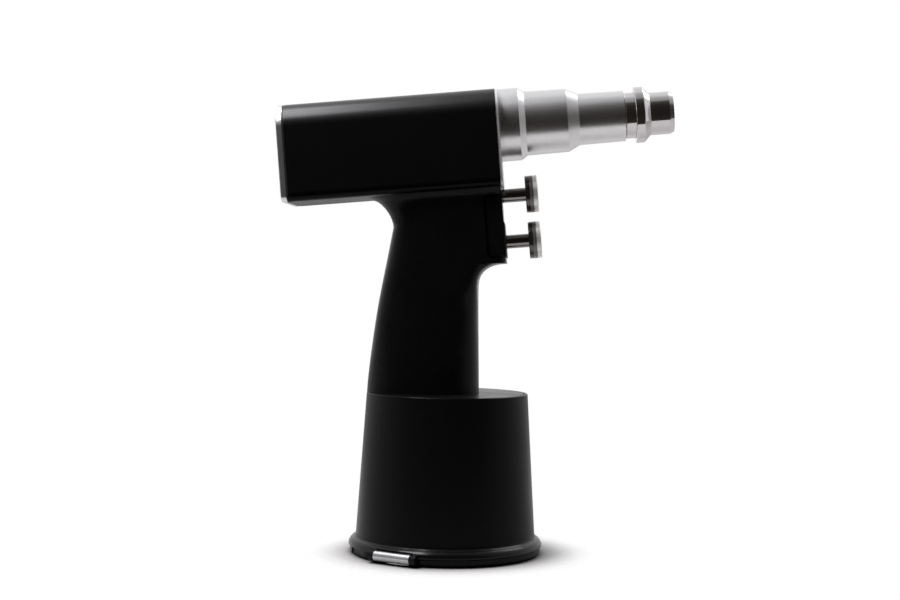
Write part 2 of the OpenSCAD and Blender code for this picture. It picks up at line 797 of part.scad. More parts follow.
// Half the grip's width, and the squareness of its rear and of its front, at height h.
function grip_side(h) =
    grip_half + (grip_foot_half - grip_half) * pow(max(0, 1 - (h - base_h) / (grip_sweep_h - base_h)), 2)
        + grip_side_flare * quarter((h - under_h + grip_side_flare_l) / grip_side_flare_l, 2);
function rear_square(h) =
    square_at_foot + (square_at_hand - square_at_foot) * smooth((h - base_h) / (grip_sweep_h - base_h));
function fore_square(h) =
    rear_square(h)
        + (square_at_triggers - square_at_hand)
            * smooth((h - grip_sweep_h + grip_sweep_rise) / grip_sweep_rise / 1.7);

function signed_power(v, p) = sign(v) * pow(abs(v), p);

// One ring of n points at height h, between the grip's back and a front line, drawn in by inset.
function grip_ring(h, front, inset, n) =
    let (mid = (grip_rear(h) + grip_line(h)) / 2, side = grip_side(h) - inset,
         slope = tan(tilt * tilted_share(h)))
    [for (i = [0:n - 1])
        let (a = 360 * i / n, back = abs(a - 180) < 90, e = 2 / (back ? rear_square(h) : fore_square(h)),
             x = mid + (back ? mid - grip_rear(h) - inset : front - inset - mid) * signed_power(cos(a), e))
        [x, side * signed_power(sin(a), e), h + slope * x]];

function steps(from, to, n) = [for (i = [0:n - 1]) from + (to - from) * i / n];

// A closed skin over rings of equally many points.
module loft(rings) {
    n = len(rings[0]);
    last = len(rings) - 1;
    polyhedron(
        points = [for (r = rings) for (p = r) p],
        faces = concat(
            [[for (i = [0:n - 1]) i]],
            [for (k = [0:last - 1], i = [0:n - 1]) let (j = (i + 1) % n)
                each [[k * n + i, (k + 1) * n + i, k * n + j],
                      [k * n + j, (k + 1) * n + i, (k + 1) * n + j]]],
            [[for (i = [n - 1:-1:0]) last * n + i]]));
}

module grip_housing() color("#141415") {
    outer = concat(
        steps(base_h, grip_sweep_h, 11),
        [for (s = steps(0, 1, 10)) grip_sweep_h + grip_sweep_rise * (1 - pow(1 - s, 3))],
        steps(grip_sweep_h + grip_sweep_rise, grip_waist_h, 4),
        steps(grip_waist_h, under_h, 8), [under_h]);
    inner_top = under_h - grip_roof_t;
    inner = concat(
        steps(base_h + grip_floor_t, grip_sweep_h, 6),
        steps(grip_sweep_h, inner_top, 8), [inner_top]);
    difference() {
        loft([for (h = outer) grip_ring(h, grip_fore(h), 0, grip_points)]);
        loft([for (h = inner) grip_ring(h, grip_line(h), grip_wall, grip_points / 2)]);
        in_body() {
            rotate([90, 0, 0]) linear_extrude(body_w, center = true) panel_outline(-fit_gap);
            translate([block_x0 - fit_gap, -block_tab_half - fit_gap, -block_panel_top - block_corner])
                cube([block_l + body_front, 2 * (block_tab_half + fit_gap), block_bottom]);
            translate([bracket_x0 - cavity_rear, -cavity_half, -bracket_low - air_gap])
                cube([bracket_l + cavity_rear + cut, 2 * cavity_half, bracket_low]);
            translate([duct_x0, -duct_half, -body_bottom - grip_roof_t - 2 * cut])
                cube([duct_x1 - duct_x0, 2 * duct_half, grip_roof_t + 3 * cut]);
            at_top_screws() translate([0, 0, -body_bottom - top_screw_grip - fit_gap])
                cylinder(r = screw_shank_r + fit_gap, h = top_screw_grip + cut, $fn = 48);
        }
        at_foot_screws() translate([0, 0, base_h - cut])
            cylinder(r = screw_shank_r + fit_gap, h = cut + foot_screw_grip + fit_gap, $fn = 48);
        translate([grip_centre_x, 0, base_h - cut])
            cylinder(r = harness_hole_r, h = grip_floor_t + 2 * cut, $fn = 64);
    }
}

module at_top_screws() {
    for (x = [duct_x0 - top_screw_edge, duct_x1 + top_screw_edge], y = [-top_screw_y, top_screw_y])
        translate([x, y, 0]) children();
}

module grip_foot_screws() color("silver") {
    at_foot_screws() translate([0, 0, plate_under]) up_screw(screw_shank_r, screw_head_r, foot_screw_l);
}

module grip_top_screws() color("silver") {
    in_body() at_top_screws() translate([0, 0, -floor_in]) mirror([0, 0, 1])
        up_screw(screw_shank_r, screw_head_r, body_wall + top_screw_grip);
}

// The harness's route: straight up out of the terminal block, back with the grip and up to the board.
harness_route = [for (s = [0:1 / harness_rings:1])
    let (t = max(0, (s * harness_rings - 1) / (harness_rings - 1)), z0 = plate_under - harness_r + fit_gap)
    [grip_centre_x - (harness_back + grip_centre_x) * t + harness_sway * pow(sin(180 * t), 2), 0,
     z0 + (harness_top - z0) * s]];

function unit(v) = v / norm(v);

module wiring_harness() color("#303030") {
    n = len(harness_route);
    loft([for (k = [0:n - 1])
        let (way = unit(harness_route[min(k + 1, n - 1)] - harness_route[max(k - 1, 0)]),
             side = [way[2], 0, -way[0]])
        [for (i = [0:harness_sides - 1]) let (a = 360 * i / harness_sides)
            harness_route[k] + harness_r * (cos(a) * side + sin(a) * [0, 1, 0])]]);
}

module control_board() color("#1f6b3a") {
    in_body() {
        translate([board_x0, -board_half, -board_z - board_t])
            cube([board_x1 - board_x0, 2 * board_half, board_t]);
        for (i = [0:3]) translate([board_x0 + chip_l + chip_pitch * i, -board_half + chip_edge, -board_z])
            cube([chip_l, board_half / 2, part_h * 0.7]);
        for (i = [1:3]) translate([board_x0 + capacitor_pitch * i, board_half / 2, -board_z])
            cylinder(r = capacitor_r, h = part_h, $fn = 48);
    }
}

module at_standoffs() {
    for (x = [board_x0 + board_hole_edge, board_x1 - board_hole_edge],
         y = [-board_half + board_hole_edge, board_half - board_hole_edge])
        translate([x, y, 0]) children();
}

module upper_housing() color("#151516") {
    in_body() difference() {
        union() {
            difference() {
                body_slab(-shell_rear, body_front);
                body_slab(-shell_rear - cut, front_inner, wall_in);
            }
            intersection() {
                at_cap_screws() nose_bar(cap_boss_r, -shell_rear, -shell_rear + cap_boss_l);
                body_slab(-shell_rear, body_front, wall_in / 2);
            }
            at_standoffs() translate([0, 0, -floor_in - wall_in / 2])
                cylinder(r = standoff_r, h = floor_in - board_z - board_t + wall_in / 2, $fn = 48);
        }
        nose_bar(gear_bore_r, front_inner - cut, body_front + cut);
        at_cap_screws() nose_bar(small_shank_r + fit_gap, -shell_rear - cut, -shell_rear + cap_screw_l);
        at_nose_screws() nose_bar(nose_screw_r + screw_hole_gap, front_inner - cut, body_front + cut);
        at_top_screws() translate([0, 0, -body_bottom - cut])
            cylinder(r = screw_shank_r + screw_hole_gap, h = body_wall + 2 * cut, $fn = 48);
        translate([duct_x0, -duct_half, -body_bottom - cut])
            cube([duct_x1 - duct_x0, 2 * duct_half, body_wall + 2 * cut]);
        translate([block_x0 - fit_gap, -block_tab_half - fit_gap, -body_bottom - cut])
            cube([block_l + body_front, 2 * (block_tab_half + fit_gap),
                  body_bottom - block_top + fit_gap + cut]);
        nose_bar(stop_r + air_gap, bracket_x0, block_x0, 0, -upper_trigger_z);
    }
}

module rear_cap() color("#b9babd") {
    in_body() difference() {
        hull() {
            body_slab(-body_rear - cap_t + cap_round, -body_rear);
            body_slab(-body_rear - cap_t + cap_round * 0.3, -body_rear, cap_round * 0.3);
            body_slab(-body_rear - cap_t, -body_rear, cap_round);
        }
        at_cap_screws() {
            nose_bar(small_shank_r + screw_hole_gap, -body_rear - cap_t - cut, -body_rear + cut);
            nose_bar(small_head_r + screw_hole_gap,
                     -body_rear - cap_t - cut, -body_rear - cap_t + screw_head_l);
        }
    }
}

module rear_gasket() color("#0c0c0c") {
    in_body() difference() {
        body_slab(-body_rear, -shell_rear, air_gap);
        body_slab(-body_rear - cut, -shell_rear + cut, wall_in);
    }
}

module rear_cap_screws() color("silver") {
    in_body() at_cap_screws() along_nose(-body_rear - cap_t + screw_head_l)
        up_screw(small_shank_r, small_head_r, cap_t - screw_head_l + gasket_t + cap_screw_l - air_gap);
}

module front_plate() color("#c4c5c8") {
    in_body() difference() {
        body_slab(body_front, nose_x0, air_gap);
        nose_bar(gear_bore_r, body_front - cut, nose_x0 + cut);
        at_nose_screws() nose_bar(nose_screw_r + screw_hole_gap, body_front - cut, nose_x0 + cut);
    }
}

module nose_screws() color("silver") {
    in_body() at_nose_screws() along_nose(front_inner)
        up_screw(nose_screw_r, 2 * nose_screw_r, nose_x0 - front_inner + nose_screw_l);
}

module motor_plate() color("#9a9ca0") {
    in_body() difference() {
        body_slab(motor_plate_x, front_inner, wall_in + fit_gap);
        translate([motor_plate_x - cut, -body_w / 2, -body_bottom])
            cube([motor_plate_t + 2 * cut, body_w, body_bottom - board_z + board_t * 2 + part_h]);
        nose_bar(motor_bearing_r + fit_gap, motor_plate_x - cut, motor_plate_x + motor_bearing_w + fit_gap);
        nose_bar(motor_shaft_r + air_gap, motor_plate_x - cut, front_inner + cut);
        at_nose_screws()
            nose_bar(2 * nose_screw_r + screw_hole_gap,
                     front_inner - screw_head_l - fit_gap, front_inner + cut);
    }
}

module motor_can() color("#6f7276") {
    in_body() difference() {
        nose_bar(motor_r, motor_x0, motor_plate_x);
        nose_bar(motor_r - can_wall, motor_x0 + can_end_t, motor_plate_x + cut);
        nose_bar(motor_bearing_r + fit_gap, motor_x0 + can_end_t - motor_bearing_w, motor_plate_x);
    }
}

module motor_stator() color("#b4703a") {
    in_body() nose_ring(motor_r - can_wall - fit_gap, rotor_r + stator_gap,
                        rotor_x0 - stator_over, rotor_x0 + rotor_l + stator_over);
}

module motor_bearings() color("silver") {
    in_body() for (x = [motor_x0 + can_end_t - motor_bearing_w, motor_plate_x])
        nose_ring(motor_bearing_r, motor_shaft_r + run_gap, x, x + motor_bearing_w);
}

module motor_rotor() color("#55585c") {
    in_body() nose_ring(rotor_r, motor_shaft_r + fit_gap, rotor_x0, rotor_x0 + rotor_l);
}

// The involute of an angle, in degrees.
function inv(a) = tan(a) * 180 / PI - a;

// Half the angle that a gear's tooth, or with wide > 0 a ring gear's space, takes up at radius r.
function half_tooth(teeth, r, wide) =
    let (pitch_r = gear_module * teeth / 2, base_r = pitch_r * cos(pressure_angle))
    90 / teeth * (1 + wide) + inv(pressure_angle) - inv(r > base_r ? acos(base_r / r) : 0);

// A gear's outline, from its root radius to its tip radius, with a tooth on the X axis.
function gear_outline(teeth, r_root, r_tip, wide) =
    let (pitch_r = gear_module * teeth / 2, low = max(r_root, pitch_r * cos(pressure_angle)),
         flank = [r_root, low, (low + pitch_r) / 2, pitch_r, (pitch_r + r_tip) / 2, r_tip])
    [for (i = [0:teeth - 1]) each concat(
        [for (k = [0:len(flank) - 1]) let (a = 360 * i / teeth - half_tooth(teeth, flank[k], wide))
            flank[k] * [cos(a), sin(a)]],
        [for (k = [len(flank) - 1:-1:0]) let (a = 360 * i / teeth + half_tooth(teeth, flank[k], wide))
            flank[k] * [cos(a), sin(a)]])];

// An outer gear with a tooth towards the nose frame's +Y side, from x0 to x1.
module gear(teeth, x0, x1, turn = 0) {
    pitch_r = gear_module * teeth / 2;
    along_nose(x0) linear_extrude(x1 - x0) rotate(turn) polygon(gear_outline(
        teeth, pitch_r - dedendum_share * gear_module,
        pitch_r + addendum_share * gear_module, -backlash_share));
}

module rotor_shaft() color("silver") {
    in_body() {
        nose_bar(motor_shaft_r, motor_x0 + can_end_t - motor_bearing_w, carrier1_x - air_gap);
        gear(sun_teeth, planets1_x - air_gap, carrier1_x - air_gap);
    }
}

// Children moved to planet number i round the nose axis.
module at_planet(i) {
    rotate([-i * 360 / planets, 0, 0]) translate([0, 0, -planet_ring_r]) children();
}

module planet(i, x, w) {
    in_body() at_planet(i) difference() {
        gear(planet_teeth, x, x + w, 180 / planet_teeth);
        nose_bar(planet_pin_r + run_gap, x - cut, x + w + cut);
    }
}

// A planet carrier: a disc with its pins reaching back through the planets.
module carrier(x, pins_from) {
    nose_bar(carrier_r, x, x + carrier_t);
    for (i = [0:planets - 1]) at_planet(i) nose_bar(planet_pin_r, pins_from, x + carrier_t / 2);
}

module ring_gear() color("#8d8f93") {
    in_body() difference() {
        nose_bar(ring_gear_r, gears_x0, ring_gear_x1);
        along_nose(gears_x0 - cut) linear_extrude(ring_gear_x1 - gears_x0 + 2 * cut)
            rotate(180 / ring_teeth) polygon(gear_outline(
                ring_teeth, ring_pitch_r - addendum_share * gear_module,
                ring_pitch_r + dedendum_share * gear_module, backlash_share));
    }
}

module first_carrier() color("#a4a6aa") {
    in_body() {
        carrier(carrier1_x, planets1_x - air_gap);
        gear(sun_teeth, carrier1_x + carrier_t / 2, carrier2_x - air_gap);
    }
}

module first_planet_a() color("#c8a24a") { planet(0, planets1_x, gear_w1); }
module first_planet_b() color("#c8a24a") { planet(1, planets1_x, gear_w1); }
module first_planet_c() color("#c8a24a") { planet(2, planets1_x, gear_w1); }
module second_planet_a() color("#c8a24a") { planet(0, planets2_x, gear_w2); }
module second_planet_b() color("#c8a24a") { planet(1, planets2_x, gear_w2); }
module second_planet_c() color("#c8a24a") { planet(2, planets2_x, gear_w2); }

module output_spindle() color("#a4a6aa") {
    in_body() {
        carrier(carrier2_x, planets2_x - air_gap / 2);
        nose_bar(spindle_r, carrier2_x + carrier_t / 2, spindle_x1);
    }
}

module nose_housing() color("#c7c8ca") {
    end_bore_r = spindle_r + 2 * air_gap;
    in_body() difference() {
        turned([
            [nose_x0, gear_bore_r], [nose_x0, nose_r1], [nose_x1, nose_r1],
            [nose_x2, nose_r2], [nose_x3, nose_r2 - nose_taper],
            [nose_x4, nose_r3], [nose_x5, nose_r3 - nose_taper],
            [nose_x5, bearing_seat_r], [bearing1_x, bearing_seat_r],
            [bearing1_x, bearing_seat_r - bearing_shoulder],
            [carrier2_x + 2 * carrier_t, bearing_seat_r - bearing_shoulder],
            [carrier2_x + 2 * carrier_t, gear_bore_r]]);
        at_nose_screws() nose_bar(nose_screw_r + fit_gap, nose_x0 - cut, nose_x0 + nose_screw_l + fit_gap);
    }
}

module spindle_bearings() color("silver") {
    in_body() for (x = [bearing1_x, bearing2_x])
        nose_ring(bearing_seat_r - fit_gap, spindle_r + run_gap, x, x + bearing_w);
}

module shaft_seal() color("#111111") {
    in_body() nose_ring(bearing_seat_r - fit_gap, spindle_r + run_gap, nose_x5 - seal_lip_t, nose_x5);
}

module chuck_body() color("#d6d6d8") {
    in_body() difference() {
        turned([
            [neck_x0, 0], [neck_x0, neck_r - air_gap], [neck_x0 + air_gap, neck_r], [neck_x1, neck_r],
            [neck_x1, socket_tube_r], [clip_x - fit_gap, socket_tube_r], [clip_x - fit_gap, clip_groove_r],
            [clip_x + clip_t + fit_gap, clip_groove_r], [clip_x + clip_t + fit_gap, socket_tube_r],
            [chuck_x1, socket_tube_r], [chuck_x1, 0]]);
        nose_bar(spindle_r + fit_gap, neck_x0 - cut, spindle_x1 + fit_gap);
        nose_bar(socket_r, chuck_x1 - socket_l, chuck_x1 + cut);
        turned([[chuck_x1 - socket_mouth, 0], [chuck_x1 - socket_mouth, socket_r],
                [chuck_x1 + cut, socket_r + socket_mouth + cut], [chuck_x1 + cut, 0]]);
        for (i = [0:balls - 1]) rotate([i * 360 / balls, 0, 0]) translate([ball_x, 0, 0])
            cylinder(r = ball_r + run_gap, h = collar_r, $fn = 48);
    }
}

module locking_balls() color("#e0e0e0") {
    in_body() for (i = [0:balls - 1]) rotate([i * 360 / balls, 0, 0])
        translate([ball_x, 0, ball_ring_r]) sphere(r = ball_r, $fn = 48);
}

module retaining_ring() color("#707070") {
    in_body() nose_ring(clip_r, clip_groove_r + fit_gap, clip_x, clip_x + clip_t);
}

module collar_spring() color("silver") {
    in_body() nose_ring(neck_r - collar_spring_edge, socket_tube_r + collar_spring_gap,
                        neck_x1 + air_gap / 2, collar_pocket_x - air_gap / 2);
}

module release_collar() color("#dcdcde") {
    in_body() turned([
        [collar_x0, collar_pocket_r], [collar_x0, collar_flange_r - air_gap],
        [collar_x0 + air_gap, collar_flange_r], [collar_x1 - air_gap, collar_flange_r],
        [collar_x1, collar_flange_r - air_gap / 2],
        [collar_x2, collar_r + air_gap / 3], [collar_x2 + air_gap, collar_r],
        [collar_x3 - collar_tip_bevel * 2.6, collar_r], [collar_x3, collar_r - collar_tip_bevel],
        [collar_x3, tip_bore_r], [clip_x - air_gap, tip_bore_r],
        [clip_x - air_gap, socket_tube_r + run_gap], [collar_pocket_x, socket_tube_r + run_gap],
        [collar_pocket_x, collar_pocket_r]]);
}

// The trigger panel's side outline in the body's frame, shrunk by inset.
module panel_outline(inset) {
    r = block_corner - inset;
    x0 = block_x0 + block_corner;
    x1 = body_front + block_step - inset;
    z0 = -block_bottom + inset;
    z1 = -block_panel_top - inset;
    polygon(concat(
        arc([x0, z1 - r], r, 90, 180, 6), arc([x0, z0 + r], r, 180, 270, 6), [[x1, z0], [x1, z1]]));
}

module trigger_block() color("#17171a") {
    in_body() difference() {
        union() {
            hull() for (a = [0:22.5:90]) rotate([90, 0, 0])
                linear_extrude(2 * (block_half - block_round * (1 - sin(a))), center = true)
                panel_outline(block_round * (1 - cos(a)));
            translate([block_x0, -block_tab_half, -block_panel_top - block_corner])
                cube([block_l - 2 * fit_gap, 2 * block_tab_half, block_panel_top + block_corner - block_top]);
        }
        rotate([90, 0, 0]) linear_extrude(body_w, center = true) polygon([
            [body_front - 2 * fit_gap, 0], [body_front - 2 * fit_gap, -block_step_z + block_step],
            [body_front + 2 * block_step, -block_step_z - 2 * block_step], [body_front + 2 * block_step, 0]]);
        for (z = [upper_trigger_z, lower_trigger_z])
            nose_bar(bushing_r + fit_gap, block_x0 - cut, body_front + block_step + cut, 0, -z);
    }
}

module trigger_bushings() color("#b08d4f") {
    in_body() for (z = [upper_trigger_z, lower_trigger_z]) difference() {
        nose_bar(bushing_r, block_x0 + bushing_sink, body_front - air_gap, 0, -z);
        nose_bar(stem_r + run_gap, block_x0 - cut, body_front + cut, 0, -z);
    }
}

module trigger_bracket() color("#8f9195") {
    in_body() difference() {
        translate([bracket_x0, -bracket_half, -bracket_low])
            cube([bracket_l - fit_gap, 2 * bracket_half, bracket_low - body_bottom - fit_gap]);
        translate([bracket_x0 + bracket_t, -bracket_half + bracket_t, -bracket_low - cut])
            cube([block_l + body_front, 2 * (bracket_half - bracket_t), bracket_low]);
        for (z = [upper_trigger_z, lower_trigger_z])
            nose_bar(guide_pin_r + air_gap, bracket_x0 - cut, bracket_x0 + bracket_t + cut, 0, -z);
    }
}

module sensor_board() color("#1f6b3a") {
    in_body() {
        translate([bracket_x0 - board_t, guide_pin_r + sensor_edge, -lower_trigger_z - sensor_edge])
            cube([board_t, bracket_half - guide_pin_r - sensor_edge, trigger_pitch + 2 * sensor_edge]);
        for (z = [upper_trigger_z, lower_trigger_z])
            translate([bracket_x0 - board_t - sensor_t, guide_pin_r + sensor_edge + sensor_t,
                       -z - sensor_h / 2])
                cube([sensor_t, sensor_l, sensor_h]);
    }
}

module trigger_stem(z) {
    in_body() difference() {
        union() {
            nose_bar(stem_r, stop_x1 - stop_t, body_front + head_gap + head_t * 0.6, 0, -z);
            nose_bar(stop_r, stop_x1 - stop_t, stop_x1, 0, -z);
            nose_bar(guide_pin_r, guide_x0, stop_x1, 0, -z);
        }
        nose_bar(magnet_r + fit_gap, guide_x0 - cut, guide_x0 + magnet_l, 0, -z);
    }
}

module trigger_head(z) {
    x0 = body_front + head_gap;
    x1 = x0 + head_t;
    in_body() translate([0, 0, -z]) difference() {
        turned([
            [x0, 0], each arc([x0 + head_round, head_r - head_round], head_round, 180, 90, 6),
            [x1 - head_bevel, head_r], [x1, head_r - head_bevel],
            [x1, head_r - head_bevel - head_rim], [x1 - head_dish, head_r * 0.5], [x1 - head_dish, 0]]);
        nose_bar(stem_r + fit_gap, x0 - cut, x0 + head_t * 0.6 + fit_gap);
    }
}

module trigger_magnet(z) {
    in_body() nose_bar(magnet_r, guide_x0, guide_x0 + magnet_l - fit_gap, 0, -z);
}

module trigger_spring(z) {
    in_body() translate([0, 0, -z])
        nose_ring(spring_out_r, spring_in_r, bracket_x0 + bracket_t + fit_gap, stop_x1 - stop_t - fit_gap);
}

module upper_trigger_stem() color("#c2c2c4") { trigger_stem(upper_trigger_z); }
module upper_trigger_head() color("#cfcfd1") { trigger_head(upper_trigger_z); }
module upper_trigger_magnet() color("#606468") { trigger_magnet(upper_trigger_z); }
module upper_trigger_spring() color("silver") { trigger_spring(upper_trigger_z); }
module lower_trigger_stem() color("#c2c2c4") { trigger_stem(lower_trigger_z); }
module lower_trigger_head() color("#cfcfd1") { trigger_head(lower_trigger_z); }
module lower_trigger_magnet() color("#606468") { trigger_magnet(lower_trigger_z); }
module lower_trigger_spring() color("silver") { trigger_spring(lower_trigger_z); }

battery_housing();
base_plate();
base_plate_screws();
battery_case();
battery_cells();
terminal_block();
contact_pins();
battery_lid();
lid_seal();
hinge_barrel();
hinge_screws();
hinge_pin();
lid_lock();
grip_housing();
grip_foot_screws();
grip_top_screws();
wiring_harness();
control_board();
upper_housing();
rear_cap();
rear_gasket();
rear_cap_screws();
front_plate();
nose_screws();
motor_plate();
motor_can();
motor_stator();
motor_bearings();
motor_rotor();
rotor_shaft();
trigger_block();
trigger_bushings();
trigger_bracket();
sensor_board();
upper_trigger_stem();
upper_trigger_head();
upper_trigger_magnet();
upper_trigger_spring();
lower_trigger_stem();
lower_trigger_head();
lower_trigger_magnet();
lower_trigger_spring();
nose_housing();
ring_gear();
first_carrier();
first_planet_a();
first_planet_b();
first_planet_c();
second_planet_a();
second_planet_b();
second_planet_c();
output_spindle();
spindle_bearings();
shaft_seal();
chuck_body();
locking_balls();
retaining_ring();
collar_spring();
release_collar();
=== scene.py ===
import json
import math

import bmesh
import bpy
from bpy.props import FloatProperty, FloatVectorProperty, PointerProperty
from bpy.types import Operator, Panel, PropertyGroup
from mathutils import Matrix, Vector

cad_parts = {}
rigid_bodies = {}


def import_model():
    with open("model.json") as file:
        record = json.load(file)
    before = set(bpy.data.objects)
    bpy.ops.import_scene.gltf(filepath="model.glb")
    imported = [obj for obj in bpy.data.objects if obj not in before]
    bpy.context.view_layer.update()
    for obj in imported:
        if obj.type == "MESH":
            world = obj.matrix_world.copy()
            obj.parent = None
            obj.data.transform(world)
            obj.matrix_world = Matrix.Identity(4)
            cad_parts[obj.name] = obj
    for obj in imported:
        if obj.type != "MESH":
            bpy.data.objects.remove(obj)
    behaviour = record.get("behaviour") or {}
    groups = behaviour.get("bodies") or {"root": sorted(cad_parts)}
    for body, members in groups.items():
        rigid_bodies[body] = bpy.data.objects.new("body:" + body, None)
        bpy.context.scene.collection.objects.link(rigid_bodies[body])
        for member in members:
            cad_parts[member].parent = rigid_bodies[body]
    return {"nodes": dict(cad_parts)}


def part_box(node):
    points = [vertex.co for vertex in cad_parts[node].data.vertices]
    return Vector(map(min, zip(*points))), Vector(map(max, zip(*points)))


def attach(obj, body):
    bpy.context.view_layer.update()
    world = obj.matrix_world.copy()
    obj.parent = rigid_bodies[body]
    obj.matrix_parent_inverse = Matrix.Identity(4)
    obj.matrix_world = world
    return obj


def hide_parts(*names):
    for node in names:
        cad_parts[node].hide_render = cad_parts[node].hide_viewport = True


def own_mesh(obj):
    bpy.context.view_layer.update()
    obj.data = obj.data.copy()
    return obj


for left_over in list(bpy.data.objects):
    bpy.data.objects.remove(left_over, do_unlink=True)
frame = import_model()
bpy.context.view_layer.update()

bl_info = {
    "name": "Reamer Drill Dressing",
    "version": (1, 0, 0),
    "blender": (4, 5, 0),
    "location": "View3D > Sidebar > Drill",
    "description": "Dresses the drill's solids with finishes and finer pieces",
    "category": "Object",
}



# ---------------------------------------------------------------- user values


def length(name, description, default, soft_max=0.5):
    return FloatProperty(
        name=name,
        description=description,
        default=default,
        min=0.0,
        soft_max=soft_max,
        subtype="DISTANCE",
        unit="LENGTH",
    )


def angle(name, description, degrees):
    return FloatProperty(
        name=name,
        description=description,
        default=math.radians(degrees),
        subtype="ANGLE",
        unit="ROTATION",
    )


def share(name, description, default):
    return FloatProperty(
        name=name,
        description=description,
        default=default,
        min=0.0,
        max=1.0,
        subtype="FACTOR",
    )


def strength(name, description, default):
    return FloatProperty(
        name=name,
        description=description,
        default=default,
        min=0.0,
        soft_max=4.0,
    )


def colour(name, description, default):
    return FloatVectorProperty(
        name=name,
        description=description,
        default=default,
        size=3,
        min=0.0,
        max=1.0,
        subtype="COLOR",
    )


class DrillBodySettings(PropertyGroup):
    axis_height: length(
        "Axis height", "Height of the nose axis above the floor over the base", 0.2108
    )
    tilt: angle("Tilt", "Angle by which the nose points up", 5.0)
    camera_distance: length(
        "Camera distance", "Distance from the camera to the base's axis", 0.75, 3.0
    )
    camera_height: length("Camera height", "Height of the camera", 0.1325, 3.0)
    camera_side: angle(
        "Camera side angle", "Angle of the camera round the base towards the nose", 3.0
    )


class ShellFinish(PropertyGroup):
    body: colour("Body", "Black anodised body", (0.0006, 0.0006, 0.0008))
    grip: colour("Grip", "Moulded grip", (0.0040, 0.0039, 0.0043))
    base: colour("Base", "Moulded battery base", (0.0043, 0.0042, 0.0045))
    rough: share("Roughness", "Roughness of the moulded pieces", 0.31)
    gloss: share("Gloss", "Specular level of the black pieces", 0.10)
    grain: length("Grain", "Size of the mould grain", 0.0004, 0.01)
    polished_to: length(
        "Polished to", "Height up to which the base's flange is polished", 0.0076, 0.1
    )


class MetalFinish(PropertyGroup):
    blasted: colour("Blasted aluminium", "Nose metal", (0.67, 0.662, 0.668))
    polished: colour("Polished steel", "Coupling metal", (0.60, 0.582, 0.584))
    satin: colour("Satin steel", "Caps and hinge", (0.62, 0.615, 0.63))


class TriggerSettings(PropertyGroup):
    radius: length("Head radius", "Radius of a trigger's head", 0.00915)
    thickness: length("Head thickness", "Thickness of a trigger's head", 0.0062)
    pad: length("Pad", "Width of the satin pad in front", 0.0021)
    band: length("Band", "Width of the brushed band behind the pad", 0.0019)


class SpringSettings(PropertyGroup):
    wire: length("Wire", "Thickest wire of the return springs", 0.0009)
    trigger: length("Trigger travel", "Way that a trigger is pressed", 0.005)
    collar: length("Collar travel", "Way that the release collar slides", 0.003)


class StudioSettings(PropertyGroup):
    backdrop: strength("Backdrop", "Strength of the white round the object", 1.0)
    dark_side: colour(
        "Dark side", "Room behind the camera that metals show", (0.020, 0.017, 0.014)
    )
    grey_side: colour(
        "Grey side", "Edge of the dark part of the room", (0.088, 0.082, 0.077)
    )
    key_power: strength("Key power", "Power of the lamp above", 2.0)
    fill_power: strength("Fill power", "Power of the lamp behind", 1.5)
    side_power: strength("Side power", "Power of the lamp by the nose", 1.8)
    floor_seen: share("Floor seen", "Tone of the floor that the camera sees", 0.84)
    contact: strength("Contact", "Depth of the shade close round the base", 1.4)
    floor_mirrored: share("Floor mirrored", "Tone of the floor in metals", 0.74)


def settings():
    return bpy.context.scene.drill_dressing


# ---------------------------------------------------------------- fixed values

# Materials: contrast of the drifting colour, and where finger smears begin and end in
# their noise.
MOTTLE_CONTRAST = 2.0
SMEAR_EDGES = (0.38, 0.72)

# Skins: corners closer than the first are one, edges sharper than the second stay
# sharp, and the last is how much larger faces steer the shading.
SKIN_MERGE = 1e-6
SKIN_SHARP = math.radians(32)
SKIN_WEIGHT = 80

# Trigger heads: rounding of the back, bevel of the front, groove behind the pad, the
# share of it that counts as pad, rim round the dish in front, depth of the dish, and
# share of the radius that is flat.
HEAD_ROUNDING = 0.0005
HEAD_BEVEL = 0.0003
HEAD_GROOVE = 0.0002
HEAD_PAD_SHARE = 0.9
HEAD_RIM = 5 * HEAD_BEVEL
HEAD_DISH = 2 * HEAD_BEVEL
HEAD_FLAT_SHARE = 0.5
HEAD_ROUNDING_STEPS = 6
HEAD_STEPS = 96
HEAD_FINISHES = ("trigger_back", "trigger_band", "trigger_pad")
HEAD_MERGE = 1e-7
HEAD_SHARP = math.radians(30)

# Springs: sides of the wire, steps in a turn, fewest turns, and the least pitch of the
# pressed spring in radii of the wire.
COIL_SIDES = 10
COIL_STEPS = 24
COIL_FEWEST_TURNS = 3
COIL_LEAST_PITCH = 2.3

# Floor: half its width, its edges behind and in front, how far it lies under the
# object, its rounded corners, the reach of the contact shade, the radii between which
# it fades, the radius under the base where it is clear, and its tones.
FLOOR_HALF_WIDTH = 2.0
FLOOR_BEHIND = 3.0
FLOOR_IN_FRONT = -0.22
FLOOR_LEVEL = -0.0002
FLOOR_CORNER = 0.25
FLOOR_CORNER_STEPS = 8
FLOOR_SHADE_REACH = 0.025
FLOOR_SHADE_SAMPLES = 16
FLOOR_FADE = (0.048, 0.076)
FLOOR_CLEAR_RADIUS = 0.044
FLOOR_TONE = (0.72, 0.72, 0.73, 1)
FLOOR_TINT = (1.0, 0.985, 0.97)

# The room from behind the object, at 0, to behind the camera, at 1.
ROOM_TONES = (
    (0.36, (0.96, 0.96, 0.97)),
    (0.52, (0.56, 0.56, 0.58)),
    (0.68, (0.40, 0.395, 0.39)),
)
GREY_SIDE_AT = 0.76
DARK_SIDE_NEAR_AT = 0.88
DARK_SIDE_NEAR_GAIN = 1.7
WHITE = (1.0, 1.0, 1.0, 1)

